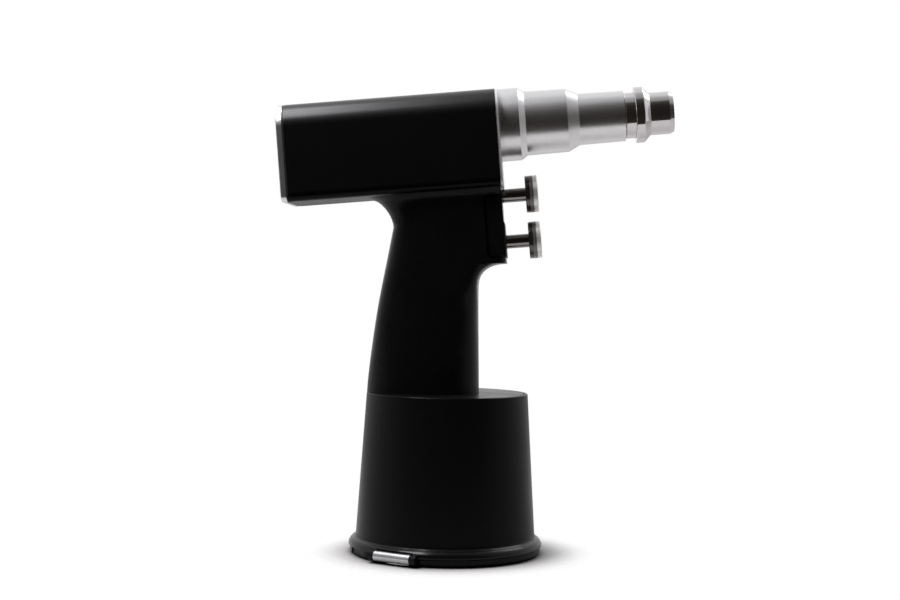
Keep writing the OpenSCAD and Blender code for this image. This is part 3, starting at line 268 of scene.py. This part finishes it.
# Lamps: name, place, what it points at, diameter, and the setting with its power.
LAMPS = (
    ("key_lamp", (-0.24, -0.20, 0.59), (-0.08, 0, 0.2), 0.22, "key_power"),
    ("fill_lamp", (-0.24, -0.02, 0.63), (-0.08, 0, 0.2), 0.22, "fill_power"),
    ("side_lamp", (0.55, 0.50, 0.80), (0.05, 0, 0.2), 0.50, "side_power"),
)
LAMP_COLOUR = (0.97, 0.96, 1.0)

CAMERA_SENSOR = 36.0
CAMERA_LENS = 60.0
CAMERA_CLIP = (0.01, 20.0)
CAMERA_ROLL = math.radians(0.9)
CAMERA_PITCH = math.radians(0.53)
CAMERA_SHIFT = 0.00065


# ---------------------------------------------------------------- node helpers


def plug(tree, value, socket):
    """Give an input its value, which is another node's output or a constant."""
    if isinstance(value, bpy.types.NodeSocket):
        tree.links.new(value, socket)
    else:
        socket.default_value = value


def add(tree, kind, inputs=None, **properties):
    """Add a node with its properties, and its inputs by name or number."""
    node = tree.nodes.new(kind)
    for key, value in properties.items():
        setattr(node, key, value)
    for key, value in (inputs or {}).items():
        plug(tree, value, node.inputs[key])
    return node


def calculate(tree, operation, *values):
    """The result of one Math node."""
    node = add(tree, "ShaderNodeMath", dict(enumerate(values)), operation=operation)
    return node.outputs[0]


def scaled(tree, vector, factor):
    """A vector or colour times a factor."""
    inputs = {0: vector, "Scale": factor}
    node = add(tree, "ShaderNodeVectorMath", inputs, operation="SCALE")
    return node.outputs[0]


def component(tree, vector, axis):
    """One coordinate of a vector."""
    return add(tree, "ShaderNodeSeparateXYZ", {0: vector}).outputs[axis]


def ramp(tree, source, low, high, first, last):
    """A smooth step of source between low and high, from first to last."""
    inputs = {
        "From Min": low,
        "From Max": high,
        "To Min": first,
        "To Max": last,
        "Value": source,
    }
    node = add(tree, "ShaderNodeMapRange", inputs, interpolation_type="SMOOTHSTEP")
    return node.outputs["Result"]


def mixed(tree, factor, first, last):
    """The first colour where the factor is 0, and the last where it is 1."""
    inputs = {0: factor, 6: first, 7: last}
    return add(tree, "ShaderNodeMix", inputs, data_type="RGBA").outputs[2]


def group(name, inputs, outputs):
    """A node group that takes a vector and numbers, and gives numbers."""
    tree = bpy.data.node_groups.new(name, "ShaderNodeTree")
    tree.interface.new_socket(
        name="Vector", in_out="INPUT", socket_type="NodeSocketVector"
    )
    for label, value in inputs.items():
        socket = tree.interface.new_socket(
            name=label, in_out="INPUT", socket_type="NodeSocketFloat"
        )
        socket.default_value = value
    for label in outputs:
        tree.interface.new_socket(
            name=label, in_out="OUTPUT", socket_type="NodeSocketFloat"
        )
    given = tree.nodes.new("NodeGroupInput").outputs
    return tree, given, tree.nodes.new("NodeGroupOutput").inputs


def grain_group():
    """Fine grain of a moulded or blasted surface, and the slow drift of its colour."""
    tree, given, result = group(
        "surface_grain", {"Size": 0.0004, "Contrast": 1.0}, ("Height", "Mottle")
    )
    scale = calculate(tree, "DIVIDE", 1.0, given["Size"])
    place = {"Vector": given["Vector"], "Scale": scale}
    fine = add(
        tree, "ShaderNodeTexNoise", {**place, "Detail": 3.0, "Roughness": 0.6}
    )
    pits = add(tree, "ShaderNodeTexVoronoi", place, feature="F1")
    pit_depth = 0.45
    height = calculate(
        tree, "MULTIPLY_ADD", pits.outputs["Distance"], pit_depth, fine.outputs["Fac"]
    )
    plug(tree, height, result["Height"])
    slower = 0.3
    slow = add(
        tree,
        "ShaderNodeTexNoise",
        {
            "Vector": given["Vector"],
            "Scale": calculate(tree, "MULTIPLY", scale, slower),
            "Detail": 4.0,
            "Roughness": 0.65,
        },
    )
    middle = 0.5
    centred = calculate(tree, "SUBTRACT", slow.outputs["Fac"], middle)
    mottle = calculate(tree, "MULTIPLY", centred, given["Contrast"])
    plug(tree, mottle, result["Mottle"])


def handling_group():
    """Faint wipe marks and finger smears, which change how rough a surface looks."""
    tree, given, result = group(
        "handling_marks", {"Amount": 0.1, "Base": 0.4}, ("Roughness",)
    )
    smear = add(
        tree,
        "ShaderNodeTexNoise",
        {
            "Vector": given["Vector"],
            "Scale": 34.0,
            "Detail": 5.0,
            "Roughness": 0.62,
            "Distortion": 1.2,
        },
    )
    patch = ramp(tree, smear.outputs["Fac"], *SMEAR_EDGES, -1.0, 1.0)
    rough = calculate(tree, "MULTIPLY_ADD", patch, given["Amount"], given["Base"])
    plug(tree, rough, result["Roughness"])


def turning_group():
    """Fine rings that a lathe leaves, spaced along the first axis of the vector."""
    tree, given, result = group("turning_rings", {"Spacing": 0.0002}, ("Height",))
    along = component(tree, given["Vector"], "X")
    rings = add(
        tree,
        "ShaderNodeTexNoise",
        {
            "W": calculate(tree, "DIVIDE", along, given["Spacing"]),
            "Scale": 1.0,
            "Detail": 4.0,
            "Roughness": 0.7,
        },
        noise_dimensions="1D",
    )
    plug(tree, rings.outputs["Fac"], result["Height"])


def effect(tree, name, vector, **values):
    """Place a node group in a material with its own values."""
    shared = bpy.data.node_groups[name]
    return add(tree, "ShaderNodeGroup", {"Vector": vector, **values}, node_tree=shared)


def placed(tree, tilted):
    """Object coordinates, turned so that X runs along the nose where tilted is true."""
    where = add(tree, "ShaderNodeTexCoord").outputs["Object"]
    if not tilted:
        return where
    s = settings().body
    shift = Matrix.Rotation(s.tilt, 3, "Y") @ Vector((0, 0, -s.axis_height))
    inputs = {"Vector": where, "Location": shift, "Rotation": (0, s.tilt, 0)}
    return add(tree, "ShaderNodeMapping", inputs).outputs["Vector"]


def finish(
    name,
    base,
    metallic,
    roughness,
    grain,
    bump,
    mottle,
    marks,
    specular=None,
    rings=None,
    ring_bump=0.0,
    tilted=False,
    polish_and_shade=None,
):
    """A material: colour that drifts, grain in relief, and handling marks.

    base is its colour, grain the size of the grain and bump its relief, mottle the
    drift of the colour, marks the change that handling made to the roughness, rings the
    spacing of turning marks and ring_bump their relief, and polish_and_shade a coat
    that
    changes with height: real polish on the base's flange, and painted shade on the
    body, whose bottom rounding is left without the coat so that it reflects less of the
    floor."""
    mat = bpy.data.materials.new(name)
    mat.use_nodes = True
    tree = mat.node_tree
    surface = tree.nodes["Principled BSDF"].inputs
    surface["Metallic"].default_value = metallic
    if specular is not None:
        surface["Specular IOR Level"].default_value = specular
    vector = placed(tree, tilted)
    grains = effect(
        tree, "surface_grain", vector, Size=grain, Contrast=MOTTLE_CONTRAST
    )
    drift = calculate(tree, "MULTIPLY_ADD", grains.outputs["Mottle"], mottle, 1.0)
    plug(tree, scaled(tree, base, drift), surface["Base Color"])
    handled = effect(tree, "handling_marks", vector, Amount=marks, Base=roughness)
    plug(tree, handled.outputs["Roughness"], surface["Roughness"])
    normal = relief(tree, grains, bump, grain)
    if rings:
        turned = effect(tree, "turning_rings", vector, Spacing=rings)
        normal = relief(tree, turned, ring_bump, rings, Normal=normal)
    plug(tree, normal, surface["Normal"])
    # A coat by height: real polish on the base's flange, painted shade under the body.
    if polish_and_shade:
        coat_by_height(tree, surface, vector, **polish_and_shade)
    return mat


def relief(tree, pattern, bump, size, **under):
    """The normal of a pattern half as deep as it is wide, on the normal under it."""
    inputs = {
        "Strength": bump,
        "Distance": size * 0.5,
        "Height": pattern.outputs["Height"],
        **under,
    }
    return add(tree, "ShaderNodeBump", inputs).outputs["Normal"]


def coat_by_height(tree, surface, vector, low, high, below, above, roughness):
    """A coat whose weight goes from below to above between two heights."""
    weight = ramp(tree, component(tree, vector, "Z"), low, high, below, above)
    plug(tree, weight, surface["Coat Weight"])
    surface["Coat Roughness"].default_value = roughness


# ---------------------------------------------------------------- finishes


def recipes():
    """What each finish is made of, by its name."""
    shell, metal = settings().shell, settings().metal
    moulded = dict(
        metallic=0, roughness=shell.rough, grain=shell.grain, specular=shell.gloss
    )
    steel = dict(metallic=1, grain=0.0005)
    fine_rings = dict(rings=0.0002, ring_bump=0.05, tilted=True)
    return {
        "base_moulding": dict(
            moulded,
            base=shell.base,
            bump=0.06,
            mottle=0.35,
            marks=0.015,
            specular=shell.gloss * 0.55,
            polish_and_shade=dict(
                low=shell.polished_to,
                high=shell.polished_to + 0.0012,
                below=0.26,
                above=0.0,
                roughness=0.13,
            ),
        ),
        "base_plate_moulding": dict(
            moulded,
            base=shell.base,
            roughness=shell.rough + 0.02,
            bump=0.08,
            mottle=0.4,
            marks=0.04,
        ),
        "lid_moulding": dict(
            moulded, base=shell.base, roughness=0.28, bump=0.04, mottle=0.3, marks=0.02
        ),
        "grip_moulding": dict(
            moulded,
            base=shell.grip,
            grain=shell.grain * 1.3,
            bump=0.10,
            mottle=0.4,
            marks=0.05,
        ),
        "body_anodised": dict(
            moulded,
            base=shell.body,
            roughness=0.34,
            grain=shell.grain * 0.6,
            bump=0.04,
            mottle=0.35,
            marks=0.03,
            tilted=True,
            specular=shell.gloss * 0.8,
            # Painted shade: the coat stops short of the body's bottom rounding, so that
            # the underside shows less of the floor's reflection.
            polish_and_shade=dict(
                low=-0.0285, high=-0.0262, below=0.0, above=0.56, roughness=0.34
            ),
        ),
        "trigger_block_moulding": dict(
            moulded,
            base=(0.0046, 0.0045, 0.0049),
            bump=0.10,
            mottle=0.4,
            marks=0.05,
            tilted=True,
        ),
        "blasted_aluminium": dict(
            base=metal.blasted,
            metallic=1,
            roughness=0.29,
            grain=0.0003,
            bump=0.05,
            mottle=0.14,
            marks=0.006,
            tilted=True,
        ),
        "polished_steel": dict(
            base=metal.polished,
            metallic=1,
            roughness=0.07,
            grain=0.0008,
            bump=0.02,
            mottle=0.05,
            marks=0.025,
            rings=0.00025,
            ring_bump=0.03,
            tilted=True,
        ),
        "trigger_steel": dict(
            fine_rings,
            base=(0.22, 0.207, 0.198),
            metallic=1,
            roughness=0.13,
            grain=0.0006,
            bump=0.04,
            mottle=0.10,
            marks=0.04,
        ),
        "trigger_back": dict(
            fine_rings,
            base=(0.10, 0.094, 0.089),
            metallic=0.8,
            roughness=0.20,
            grain=0.0006,
            bump=0.04,
            mottle=0.10,
            marks=0.04,
        ),
        "trigger_band": dict(
            fine_rings,
            base=(0.20, 0.19, 0.18),
            metallic=0.5,
            roughness=0.42,
            grain=0.0005,
            bump=0.10,
            mottle=0.12,
            marks=0.04,
            ring_bump=0.10,
        ),
        "trigger_pad": dict(
            base=(0.90, 0.88, 0.85),
            metallic=0.70,
            roughness=0.48,
            grain=0.0005,
            bump=0.12,
            mottle=0.10,
            marks=0.04,
            tilted=True,
        ),
        "cap_steel": dict(
            base=metal.satin,
            metallic=1,
            roughness=0.34,
            grain=0.0004,
            bump=0.04,
            mottle=0.08,
            marks=0.012,
            tilted=True,
        ),
        "plate_satin": dict(
            base=(0.60, 0.595, 0.60),
            metallic=0.4,
            roughness=0.40,
            grain=0.0005,
            bump=0.08,
            mottle=0.10,
            marks=0.04,
            tilted=True,
        ),
        "hinge_steel": dict(
            steel, base=metal.satin, roughness=0.30, bump=0.06, mottle=0.12, marks=0.04
        ),
        "plain_steel": dict(
            steel,
            base=(0.42, 0.42, 0.43),
            roughness=0.32,
            bump=0.06,
            mottle=0.15,
            marks=0.06,
        ),
        "turned_steel": dict(
            steel,
            base=(0.46, 0.46, 0.47),
            roughness=0.28,
            bump=0.05,
            mottle=0.12,
            marks=0.05,
            rings=0.0003,
            ring_bump=0.08,
            tilted=True,
        ),
        "gear_brass": dict(
            base=(0.62, 0.46, 0.20),
            metallic=1,
            roughness=0.30,
            grain=0.0005,
            bump=0.06,
            mottle=0.15,
            marks=0.05,
        ),
        "motor_metal": dict(
            base=(0.30, 0.31, 0.33),
            metallic=1,
            roughness=0.38,
            grain=0.0006,
            bump=0.10,
            mottle=0.20,
            marks=0.05,
            rings=0.0005,
            ring_bump=0.10,
            tilted=True,
        ),
        "winding": dict(
            base=(0.50, 0.20, 0.07),
            metallic=1,
            roughness=0.34,
            grain=0.0008,
            bump=0.20,
            mottle=0.30,
            marks=0.06,
            rings=0.0006,
            ring_bump=0.30,
            tilted=True,
        ),
        "seal_rubber": dict(
            base=(0.010, 0.010, 0.011),
            metallic=0,
            roughness=0.72,
            grain=0.0004,
            bump=0.25,
            mottle=0.4,
            marks=0.05,
        ),
        "circuit_board": dict(
            base=(0.015, 0.12, 0.045),
            metallic=0,
            roughness=0.34,
            grain=0.0016,
            bump=0.30,
            mottle=0.8,
            marks=0.06,
        ),
        "battery_plastic": dict(
            base=(0.028, 0.045, 0.085),
            metallic=0,
            roughness=0.50,
            grain=shell.grain,
            bump=0.15,
            mottle=0.3,
            marks=0.06,
        ),
        "cell_sleeve": dict(
            base=(0.04, 0.26, 0.11),
            metallic=0,
            roughness=0.28,
            grain=0.0009,
            bump=0.12,
            mottle=0.25,
            marks=0.06,
        ),
        "terminal_plastic": dict(
            base=(0.58, 0.54, 0.44),
            metallic=0,
            roughness=0.55,
            grain=shell.grain,
            bump=0.12,
            mottle=0.12,
            marks=0.05,
        ),
    }


# The materials by name, which the first operator fills in.
FINISHES = {}

# The finish of each CAD node.
NODE_FINISH = {
    "battery_housing": "base_moulding",
    "base_plate": "base_plate_moulding",
    "base_plate_screws": "plain_steel",
    "battery_case": "battery_plastic",
    "battery_cells": "cell_sleeve",
    "terminal_block": "terminal_plastic",
    "contact_pins": "gear_brass",
    "battery_lid": "lid_moulding",
    "lid_seal": "seal_rubber",
    "hinge_barrel": "hinge_steel",
    "hinge_screws": "plain_steel",
    "hinge_pin": "plain_steel",
    "lid_lock": "hinge_steel",
    "grip_housing": "grip_moulding",
    "grip_foot_screws": "plain_steel",
    "grip_top_screws": "plain_steel",
    "wiring_harness": "seal_rubber",
    "control_board": "circuit_board",
    "upper_housing": "body_anodised",
    "rear_cap": "cap_steel",
    "rear_gasket": "seal_rubber",
    "rear_cap_screws": "plain_steel",
    "front_plate": "plate_satin",
    "nose_screws": "plain_steel",
    "motor_plate": "blasted_aluminium",
    "motor_can": "motor_metal",
    "motor_stator": "winding",
    "motor_bearings": "turned_steel",
    "motor_rotor": "motor_metal",
    "rotor_shaft": "turned_steel",
    "trigger_block": "trigger_block_moulding",
    "trigger_bushings": "gear_brass",
    "trigger_bracket": "plain_steel",
    "sensor_board": "circuit_board",
    "upper_trigger_stem": "trigger_steel",
    "upper_trigger_head": "trigger_steel",
    "upper_trigger_magnet": "motor_metal",
    "upper_trigger_spring": "plain_steel",
    "lower_trigger_stem": "trigger_steel",
    "lower_trigger_head": "trigger_steel",
    "lower_trigger_magnet": "motor_metal",
    "lower_trigger_spring": "plain_steel",
    "nose_housing": "blasted_aluminium",
    "ring_gear": "turned_steel",
    "first_carrier": "turned_steel",
    "first_planet_a": "gear_brass",
    "first_planet_b": "gear_brass",
    "first_planet_c": "gear_brass",
    "second_planet_a": "gear_brass",
    "second_planet_b": "gear_brass",
    "second_planet_c": "gear_brass",
    "output_spindle": "turned_steel",
    "spindle_bearings": "turned_steel",
    "shaft_seal": "seal_rubber",
    "chuck_body": "polished_steel",
    "locking_balls": "polished_steel",
    "retaining_ring": "turned_steel",
    "collar_spring": "plain_steel",
    "release_collar": "polished_steel",
}


# ---------------------------------------------------------------- pieces


def linked(name, data):
    """A new object in the scene's collection."""
    piece = bpy.data.objects.new(name, data)
    bpy.context.collection.objects.link(piece)
    return piece


def as_mesh(work, name, *materials):
    """The mesh of a bmesh, which is freed, with its materials."""
    mesh = bpy.data.meshes.new(name)
    work.to_mesh(mesh)
    work.free()
    for material in materials:
        mesh.materials.append(material)
    return mesh


def shade_smooth(work, sharp):
    """Smooth every face, but keep the edges that turn by the angle sharp or more."""
    for face in work.faces:
        face.smooth = True
    for edge in work.edges:
        if len(edge.link_faces) == 2:
            edge.smooth = edge.calc_face_angle() < sharp


def along_nose():
    """The turn from the X axis to the nose's direction."""
    return Matrix.Rotation(-settings().body.tilt, 4, "Y")


def skin(source, body):
    """A merged copy of a CAD node that shades smoothly, in the node's place."""
    name = source + "_skin"
    work = bmesh.new()
    work.from_mesh(frame["nodes"][source].data)
    bmesh.ops.remove_doubles(work, verts=work.verts, dist=SKIN_MERGE)
    bmesh.ops.recalc_face_normals(work, faces=work.faces)
    shade_smooth(work, SKIN_SHARP)
    piece = linked(name, as_mesh(work, name, FINISHES[NODE_FINISH[source]]))
    even = piece.modifiers.new("even_shading", "WEIGHTED_NORMAL")
    even.mode = "FACE_AREA"
    even.weight = SKIN_WEIGHT
    even.keep_sharp = True
    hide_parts(source)
    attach(piece, body)


def head_outline(radius, thickness, band_from, pad_from):
    """Half the section of a trigger's head, from its back's middle to its front's."""
    centre = radius - HEAD_ROUNDING
    outline = [(0.0, 0.0), (0.0, centre)]
    for step in range(1, HEAD_ROUNDING_STEPS + 1):
        turned = math.radians(90 / HEAD_ROUNDING_STEPS * step)
        outline.append(
            (
                HEAD_ROUNDING * (1 - math.cos(turned)),
                centre + HEAD_ROUNDING * math.sin(turned),
            )
        )
    return outline + [
        (band_from, radius),
        (pad_from - HEAD_GROOVE, radius),
        (pad_from - HEAD_GROOVE, radius - HEAD_GROOVE),
        (pad_from, radius - HEAD_GROOVE),
        (pad_from, radius),
        (thickness - HEAD_BEVEL, radius),
        (thickness, radius - HEAD_BEVEL),
        (thickness, radius - HEAD_RIM),
        (thickness - HEAD_DISH, radius * HEAD_FLAT_SHARE),
        (thickness - HEAD_DISH, 0.0),
    ]


def head(node, body):
    """A turned trigger head in a CAD head's place: back, band, groove and pad."""
    s = settings().trigger
    pad_from = s.thickness - s.pad
    band_from = pad_from - s.band
    outline = head_outline(s.radius, s.thickness, band_from, pad_from)
    work = bmesh.new()
    points = [work.verts.new((a, 0.0, r)) for a, r in outline]
    lines = [work.edges.new(pair) for pair in zip(points, points[1:])]
    bmesh.ops.spin(
        work,
        geom=points + lines,
        cent=(0, 0, 0),
        axis=(1, 0, 0),
        angle=math.tau,
        steps=HEAD_STEPS,
        use_merge=True,
    )
    bmesh.ops.remove_doubles(work, verts=work.verts, dist=HEAD_MERGE)
    bmesh.ops.recalc_face_normals(work, faces=work.faces)
    shade_smooth(work, HEAD_SHARP)
    back, band, pad = range(3)
    for face in work.faces:
        middle = face.calc_center_median().x
        if middle > pad_from - HEAD_GROOVE * HEAD_PAD_SHARE:
            face.material_index = pad
        elif middle > band_from:
            face.material_index = band
        else:
            face.material_index = back
    low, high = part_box(node)
    turn = along_nose()
    start = (low + high) / 2 - turn @ Vector((s.thickness / 2, 0, 0))
    bmesh.ops.transform(work, matrix=Matrix.Translation(start) @ turn, verts=work.verts)
    name = node + "_turned"
    finishes = [FINISHES[part] for part in HEAD_FINISHES]
    piece = linked(name, as_mesh(work, name, *finishes))
    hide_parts(node)
    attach(piece, body)


def helix(low, high, inner, wire, turns):
    """A wound wire of radius wire that fills a box along X, closed at both ends."""
    centre = (low + high) / 2
    outer = (high.z - low.z) / 2
    steps = COIL_STEPS * turns
    upright = Matrix.Rotation(math.pi / 2, 3, "X")
    work = bmesh.new()
    ring = bmesh.ops.create_circle(work, segments=COIL_SIDES, radius=wire)["verts"]
    bmesh.ops.rotate(work, verts=ring, cent=(0, 0, 0), matrix=upright)
    start = (low.x + wire, centre.y, centre.z + (outer + inner) / 2)
    bmesh.ops.translate(work, verts=ring, vec=start)
    bmesh.ops.spin(
        work,
        geom=work.verts[:] + work.edges[:],
        cent=centre,
        axis=(1, 0, 0),
        dvec=((high.x - low.x - 2 * wire) / steps, 0, 0),
        angle=math.tau * turns,
        steps=steps,
    )
    ends = [edge for edge in work.edges if edge.is_boundary]
    bmesh.ops.holes_fill(work, edges=ends, sides=COIL_SIDES)
    bmesh.ops.recalc_face_normals(work, faces=work.faces)
    for face in work.faces:
        face.smooth = len(face.verts) < COIL_SIDES
    return work


def spring(node, body, joint, travel):
    """A wound spring in a CAD tube's place, with room between its turns for travel;
    joint is not used.
    """
    place = Matrix.Translation((0, 0, settings().body.axis_height)) @ along_nose()
    home = place.inverted()
    points = [home @ v.co for v in frame["nodes"][node].data.vertices]
    low, high = (Vector(map(pick, zip(*points))) for pick in (min, max))
    centre = (low + high) / 2
    inner = min(math.hypot(p.y - centre.y, p.z - centre.z) for p in points)
    free = high.x - low.x
    keep = (free - travel) / free
    wall = (high.z - low.z) / 2 - inner
    wire = min(wall / 2, settings().spring.wire / 2)
    turns = max(COIL_FEWEST_TURNS, int(free * keep / (COIL_LEAST_PITCH * wire) - 1))
    work = helix(low, high, inner, wire, turns)
    bmesh.ops.transform(work, matrix=place, verts=work.verts)
    name = node.replace("spring", "coil")
    piece = linked(name, as_mesh(work, name, FINISHES["plain_steel"]))
    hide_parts(node)
    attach(piece, body)
    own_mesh(piece)


# ---------------------------------------------------------------- studio


def floor_mesh():
    """A flat sheet with rounded corners, which reaches far behind the object."""
    work = bmesh.new()
    bmesh.ops.create_grid(work, x_segments=1, y_segments=1, size=1.0)
    for v in work.verts:
        edge = FLOOR_BEHIND if v.co.y > 0 else FLOOR_IN_FRONT
        v.co = Vector((v.co.x * FLOOR_HALF_WIDTH, edge, FLOOR_LEVEL))
    bmesh.ops.bevel(
        work,
        geom=list(work.verts),
        offset=FLOOR_CORNER,
        affect="VERTICES",
        segments=FLOOR_CORNER_STEPS,
        profile=0.5,
        material=-1,
    )
    return work


def floor_tone(tree, ray):
    """The floor's tone, which metals, glass and the camera each see differently."""
    s = settings().studio
    tone = FLOOR_TONE
    for kind, value in (
        ("Is Glossy Ray", s.floor_mirrored),
        ("Is Transmission Ray", s.floor_mirrored),
        ("Is Camera Ray", s.floor_seen),
    ):
        seen = (*(value * part for part in FLOOR_TINT), 1)
        tone = mixed(tree, ray.outputs[kind], tone, seen)
    return tone


def make_floor():
    """A pale floor, clear far from the base, under it and from below, so lids show."""
    mat = bpy.data.materials.new("floor_white")
    mat.use_nodes = True
    tree = mat.node_tree
    tree.nodes.remove(tree.nodes["Principled BSDF"])
    ray = add(tree, "ShaderNodeLightPath")
    nearby = add(
        tree,
        "ShaderNodeAmbientOcclusion",
        {"Distance": FLOOR_SHADE_REACH},
        samples=FLOOR_SHADE_SAMPLES,
    )
    shade = calculate(tree, "POWER", nearby.outputs["AO"], settings().studio.contact)
    shaded = scaled(tree, floor_tone(tree, ray), shade)
    near = add(tree, "ShaderNodeBsdfDiffuse", {"Color": shaded})
    where = add(tree, "ShaderNodeTexCoord").outputs["Object"]
    reach = add(tree, "ShaderNodeVectorMath", {0: where}, operation="LENGTH")
    distance = reach.outputs["Value"]
    fade = ramp(tree, distance, *FLOOR_FADE, 0.0, 1.0)
    side = add(tree, "ShaderNodeNewGeometry").outputs["Backfacing"]
    open_side = calculate(tree, "MAXIMUM", fade, side)
    seen = calculate(tree, "MULTIPLY", open_side, ray.outputs["Is Camera Ray"])
    under = calculate(tree, "LESS_THAN", distance, FLOOR_CLEAR_RADIUS)
    clear = calculate(tree, "MAXIMUM", seen, under)
    nothing = add(tree, "ShaderNodeBsdfTransparent")
    both = add(
        tree,
        "ShaderNodeMixShader",
        {0: clear, 1: near.outputs[0], 2: nothing.outputs[0]},
    )
    plug(tree, both.outputs[0], tree.nodes["Material Output"].inputs["Surface"])
    floor = linked("floor", as_mesh(floor_mesh(), "floor", mat))


def make_world():
    """White behind the object, dark behind the camera, and grey between them."""
    s = settings().studio
    world = bpy.data.worlds.new("studio")
    bpy.context.scene.world = world
    world.use_nodes = True
    tree = world.node_tree
    where = add(tree, "ShaderNodeTexCoord").outputs["Generated"]
    depth = add(
        tree,
        "ShaderNodeMapRange",
        {"From Min": 1.0, "From Max": -1.0, "Value": component(tree, where, "Y")},
    )
    room = add(tree, "ShaderNodeValToRGB", {"Fac": depth.outputs["Result"]})
    stops = room.color_ramp.elements
    stops[0].position, stops[0].color = 0.0, WHITE
    stops[1].position, stops[1].color = 1.0, (*s.dark_side, 1)
    for place, tone in (
        *ROOM_TONES,
        (GREY_SIDE_AT, s.grey_side),
        (DARK_SIDE_NEAR_AT, Vector(s.dark_side) * DARK_SIDE_NEAR_GAIN),
    ):
        stops.new(place).color = (*tone, 1)
    ray = add(tree, "ShaderNodeLightPath")
    seen = mixed(tree, ray.outputs["Is Camera Ray"], room.outputs["Color"], WHITE)
    sky = tree.nodes["Background"].inputs
    plug(tree, seen, sky["Color"])
    sky["Strength"].default_value = s.backdrop


def make_lamp(name, place, target, size, power):
    """A round lamp at a place, turned to its target."""
    data = bpy.data.lights.new(name, "AREA")
    data.shape = "DISK"
    data.size = size
    data.energy = power
    data.color = LAMP_COLOUR
    lamp = linked(name, data)
    lamp.location = place
    aim = Vector(target) - Vector(place)
    lamp.rotation_euler = aim.to_track_quat("-Z", "Y").to_euler()


def make_camera():
    """The camera of the photo: level with the grip, a little to the nose's side."""
    s = settings().body
    data = bpy.data.cameras.new("camera")
    data.sensor_width = CAMERA_SENSOR
    data.lens = CAMERA_LENS
    data.clip_start, data.clip_end = CAMERA_CLIP
    camera = linked("camera", data)
    along = Vector((math.cos(s.camera_side), math.sin(s.camera_side), 0))
    back = Vector((math.sin(s.camera_side), -math.cos(s.camera_side), 0))
    look = -back * math.cos(CAMERA_PITCH) - Vector((0, 0, math.sin(CAMERA_PITCH)))
    up = along.cross(look)
    right = math.cos(CAMERA_ROLL) * along + math.sin(CAMERA_ROLL) * up
    above = -math.sin(CAMERA_ROLL) * along + math.cos(CAMERA_ROLL) * up
    turn = Matrix((right, above, -look)).transposed()
    place = back * s.camera_distance + along * CAMERA_SHIFT
    place.z = s.camera_height
    camera.matrix_world = Matrix.Translation(place) @ turn.to_4x4()
    bpy.context.scene.camera = camera
    bpy.context.scene.view_settings.view_transform = "Standard"


# ---------------------------------------------------------------- operators


class DRILL_OT_finishes(Operator):
    """Give every solid of the frame its finish"""

    bl_idname = "drill.finishes"
    bl_label = "Finish the solids"

    def execute(self, context):
        for build in (grain_group, handling_group, turning_group):
            build()
        for name, recipe in recipes().items():
            FINISHES[name] = finish(name, **recipe)
        for node, name in NODE_FINISH.items():
            for place in frame["nodes"][node].material_slots:
                place.material = FINISHES[name]
        return {"FINISHED"}


class DRILL_OT_shells(Operator):
    """Make the smooth outer skins of the grip, the body and its rear cap"""

    bl_idname = "drill.shells"
    bl_label = "Smooth shells"

    def execute(self, context):
        for source, slot in (
            ("grip_housing", "grip_shell"),
            ("upper_housing", "body_shell"),
            ("rear_cap", "cap_steel"),
            ("trigger_block", "grip_shell"),
        ):
            skin(source, "housing")
        return {"FINISHED"}


class DRILL_OT_triggers(Operator):
    """Turn the trigger heads, with a polished back, a brushed band and a satin pad"""

    bl_idname = "drill.triggers"
    bl_label = "Trigger heads"

    def execute(self, context):
        for which in ("upper", "lower"):
            head(f"{which}_trigger_head", f"{which}_trigger")
        return {"FINISHED"}


class DRILL_OT_springs(Operator):
    """Wind the three return springs, with room between their turns for their slides'
    travel
    """

    bl_idname = "drill.springs"
    bl_label = "Springs"

    def execute(self, context):
        travel = settings().spring
        for which in ("upper", "lower"):
            spring(
                f"{which}_trigger_spring",
                "housing",
                f"{which}_trigger_press",
                travel.trigger,
            )
        spring("collar_spring", "spindle", "collar_slide", travel.collar)
        return {"FINISHED"}


class DRILL_OT_studio(Operator):
    """Set the floor, the backdrop, the lamps and the camera"""

    bl_idname = "drill.studio"
    bl_label = "Studio"

    def execute(self, context):
        make_floor()
        make_world()
        for name, place, target, size, power in LAMPS:
            make_lamp(name, place, target, size, getattr(settings().studio, power))
        make_camera()
        return {"FINISHED"}


STEPS = (
    DRILL_OT_finishes,
    DRILL_OT_shells,
    DRILL_OT_triggers,
    DRILL_OT_springs,
    DRILL_OT_studio,
)


class DrillDressing(PropertyGroup):
    body: PointerProperty(type=DrillBodySettings)
    shell: PointerProperty(type=ShellFinish)
    metal: PointerProperty(type=MetalFinish)
    trigger: PointerProperty(type=TriggerSettings)
    spring: PointerProperty(type=SpringSettings)
    studio: PointerProperty(type=StudioSettings)


class DRILL_PT_panel(Panel):
    """Sizes and colours of the drill's dressing, and the steps that make it"""

    bl_label = "Reamer drill"
    bl_idname = "DRILL_PT_panel"
    bl_space_type = "VIEW_3D"
    bl_region_type = "UI"
    bl_category = "Drill"

    def draw(self, context):
        s = context.scene.drill_dressing
        for part in (s.body, s.shell, s.metal, s.trigger, s.spring, s.studio):
            box = self.layout.box()
            for key in part.__annotations__:
                box.prop(part, key)
        for step in STEPS:
            self.layout.operator(step.bl_idname)


CLASSES = (
    DrillBodySettings,
    ShellFinish,
    MetalFinish,
    TriggerSettings,
    SpringSettings,
    StudioSettings,
    DrillDressing,
    *STEPS,
    DRILL_PT_panel,
)


def register():
    for cls in CLASSES:
        bpy.utils.register_class(cls)
    bpy.types.Scene.drill_dressing = PointerProperty(type=DrillDressing)


def unregister():
    del bpy.types.Scene.drill_dressing
    for cls in reversed(CLASSES):
        bpy.utils.unregister_class(cls)


def main():
    register()
    for step in STEPS:
        group_name, call = step.bl_idname.split(".")
        getattr(getattr(bpy.ops, group_name), call)()
    bpy.context.view_layer.update()


if __name__ == "__main__":
    main()
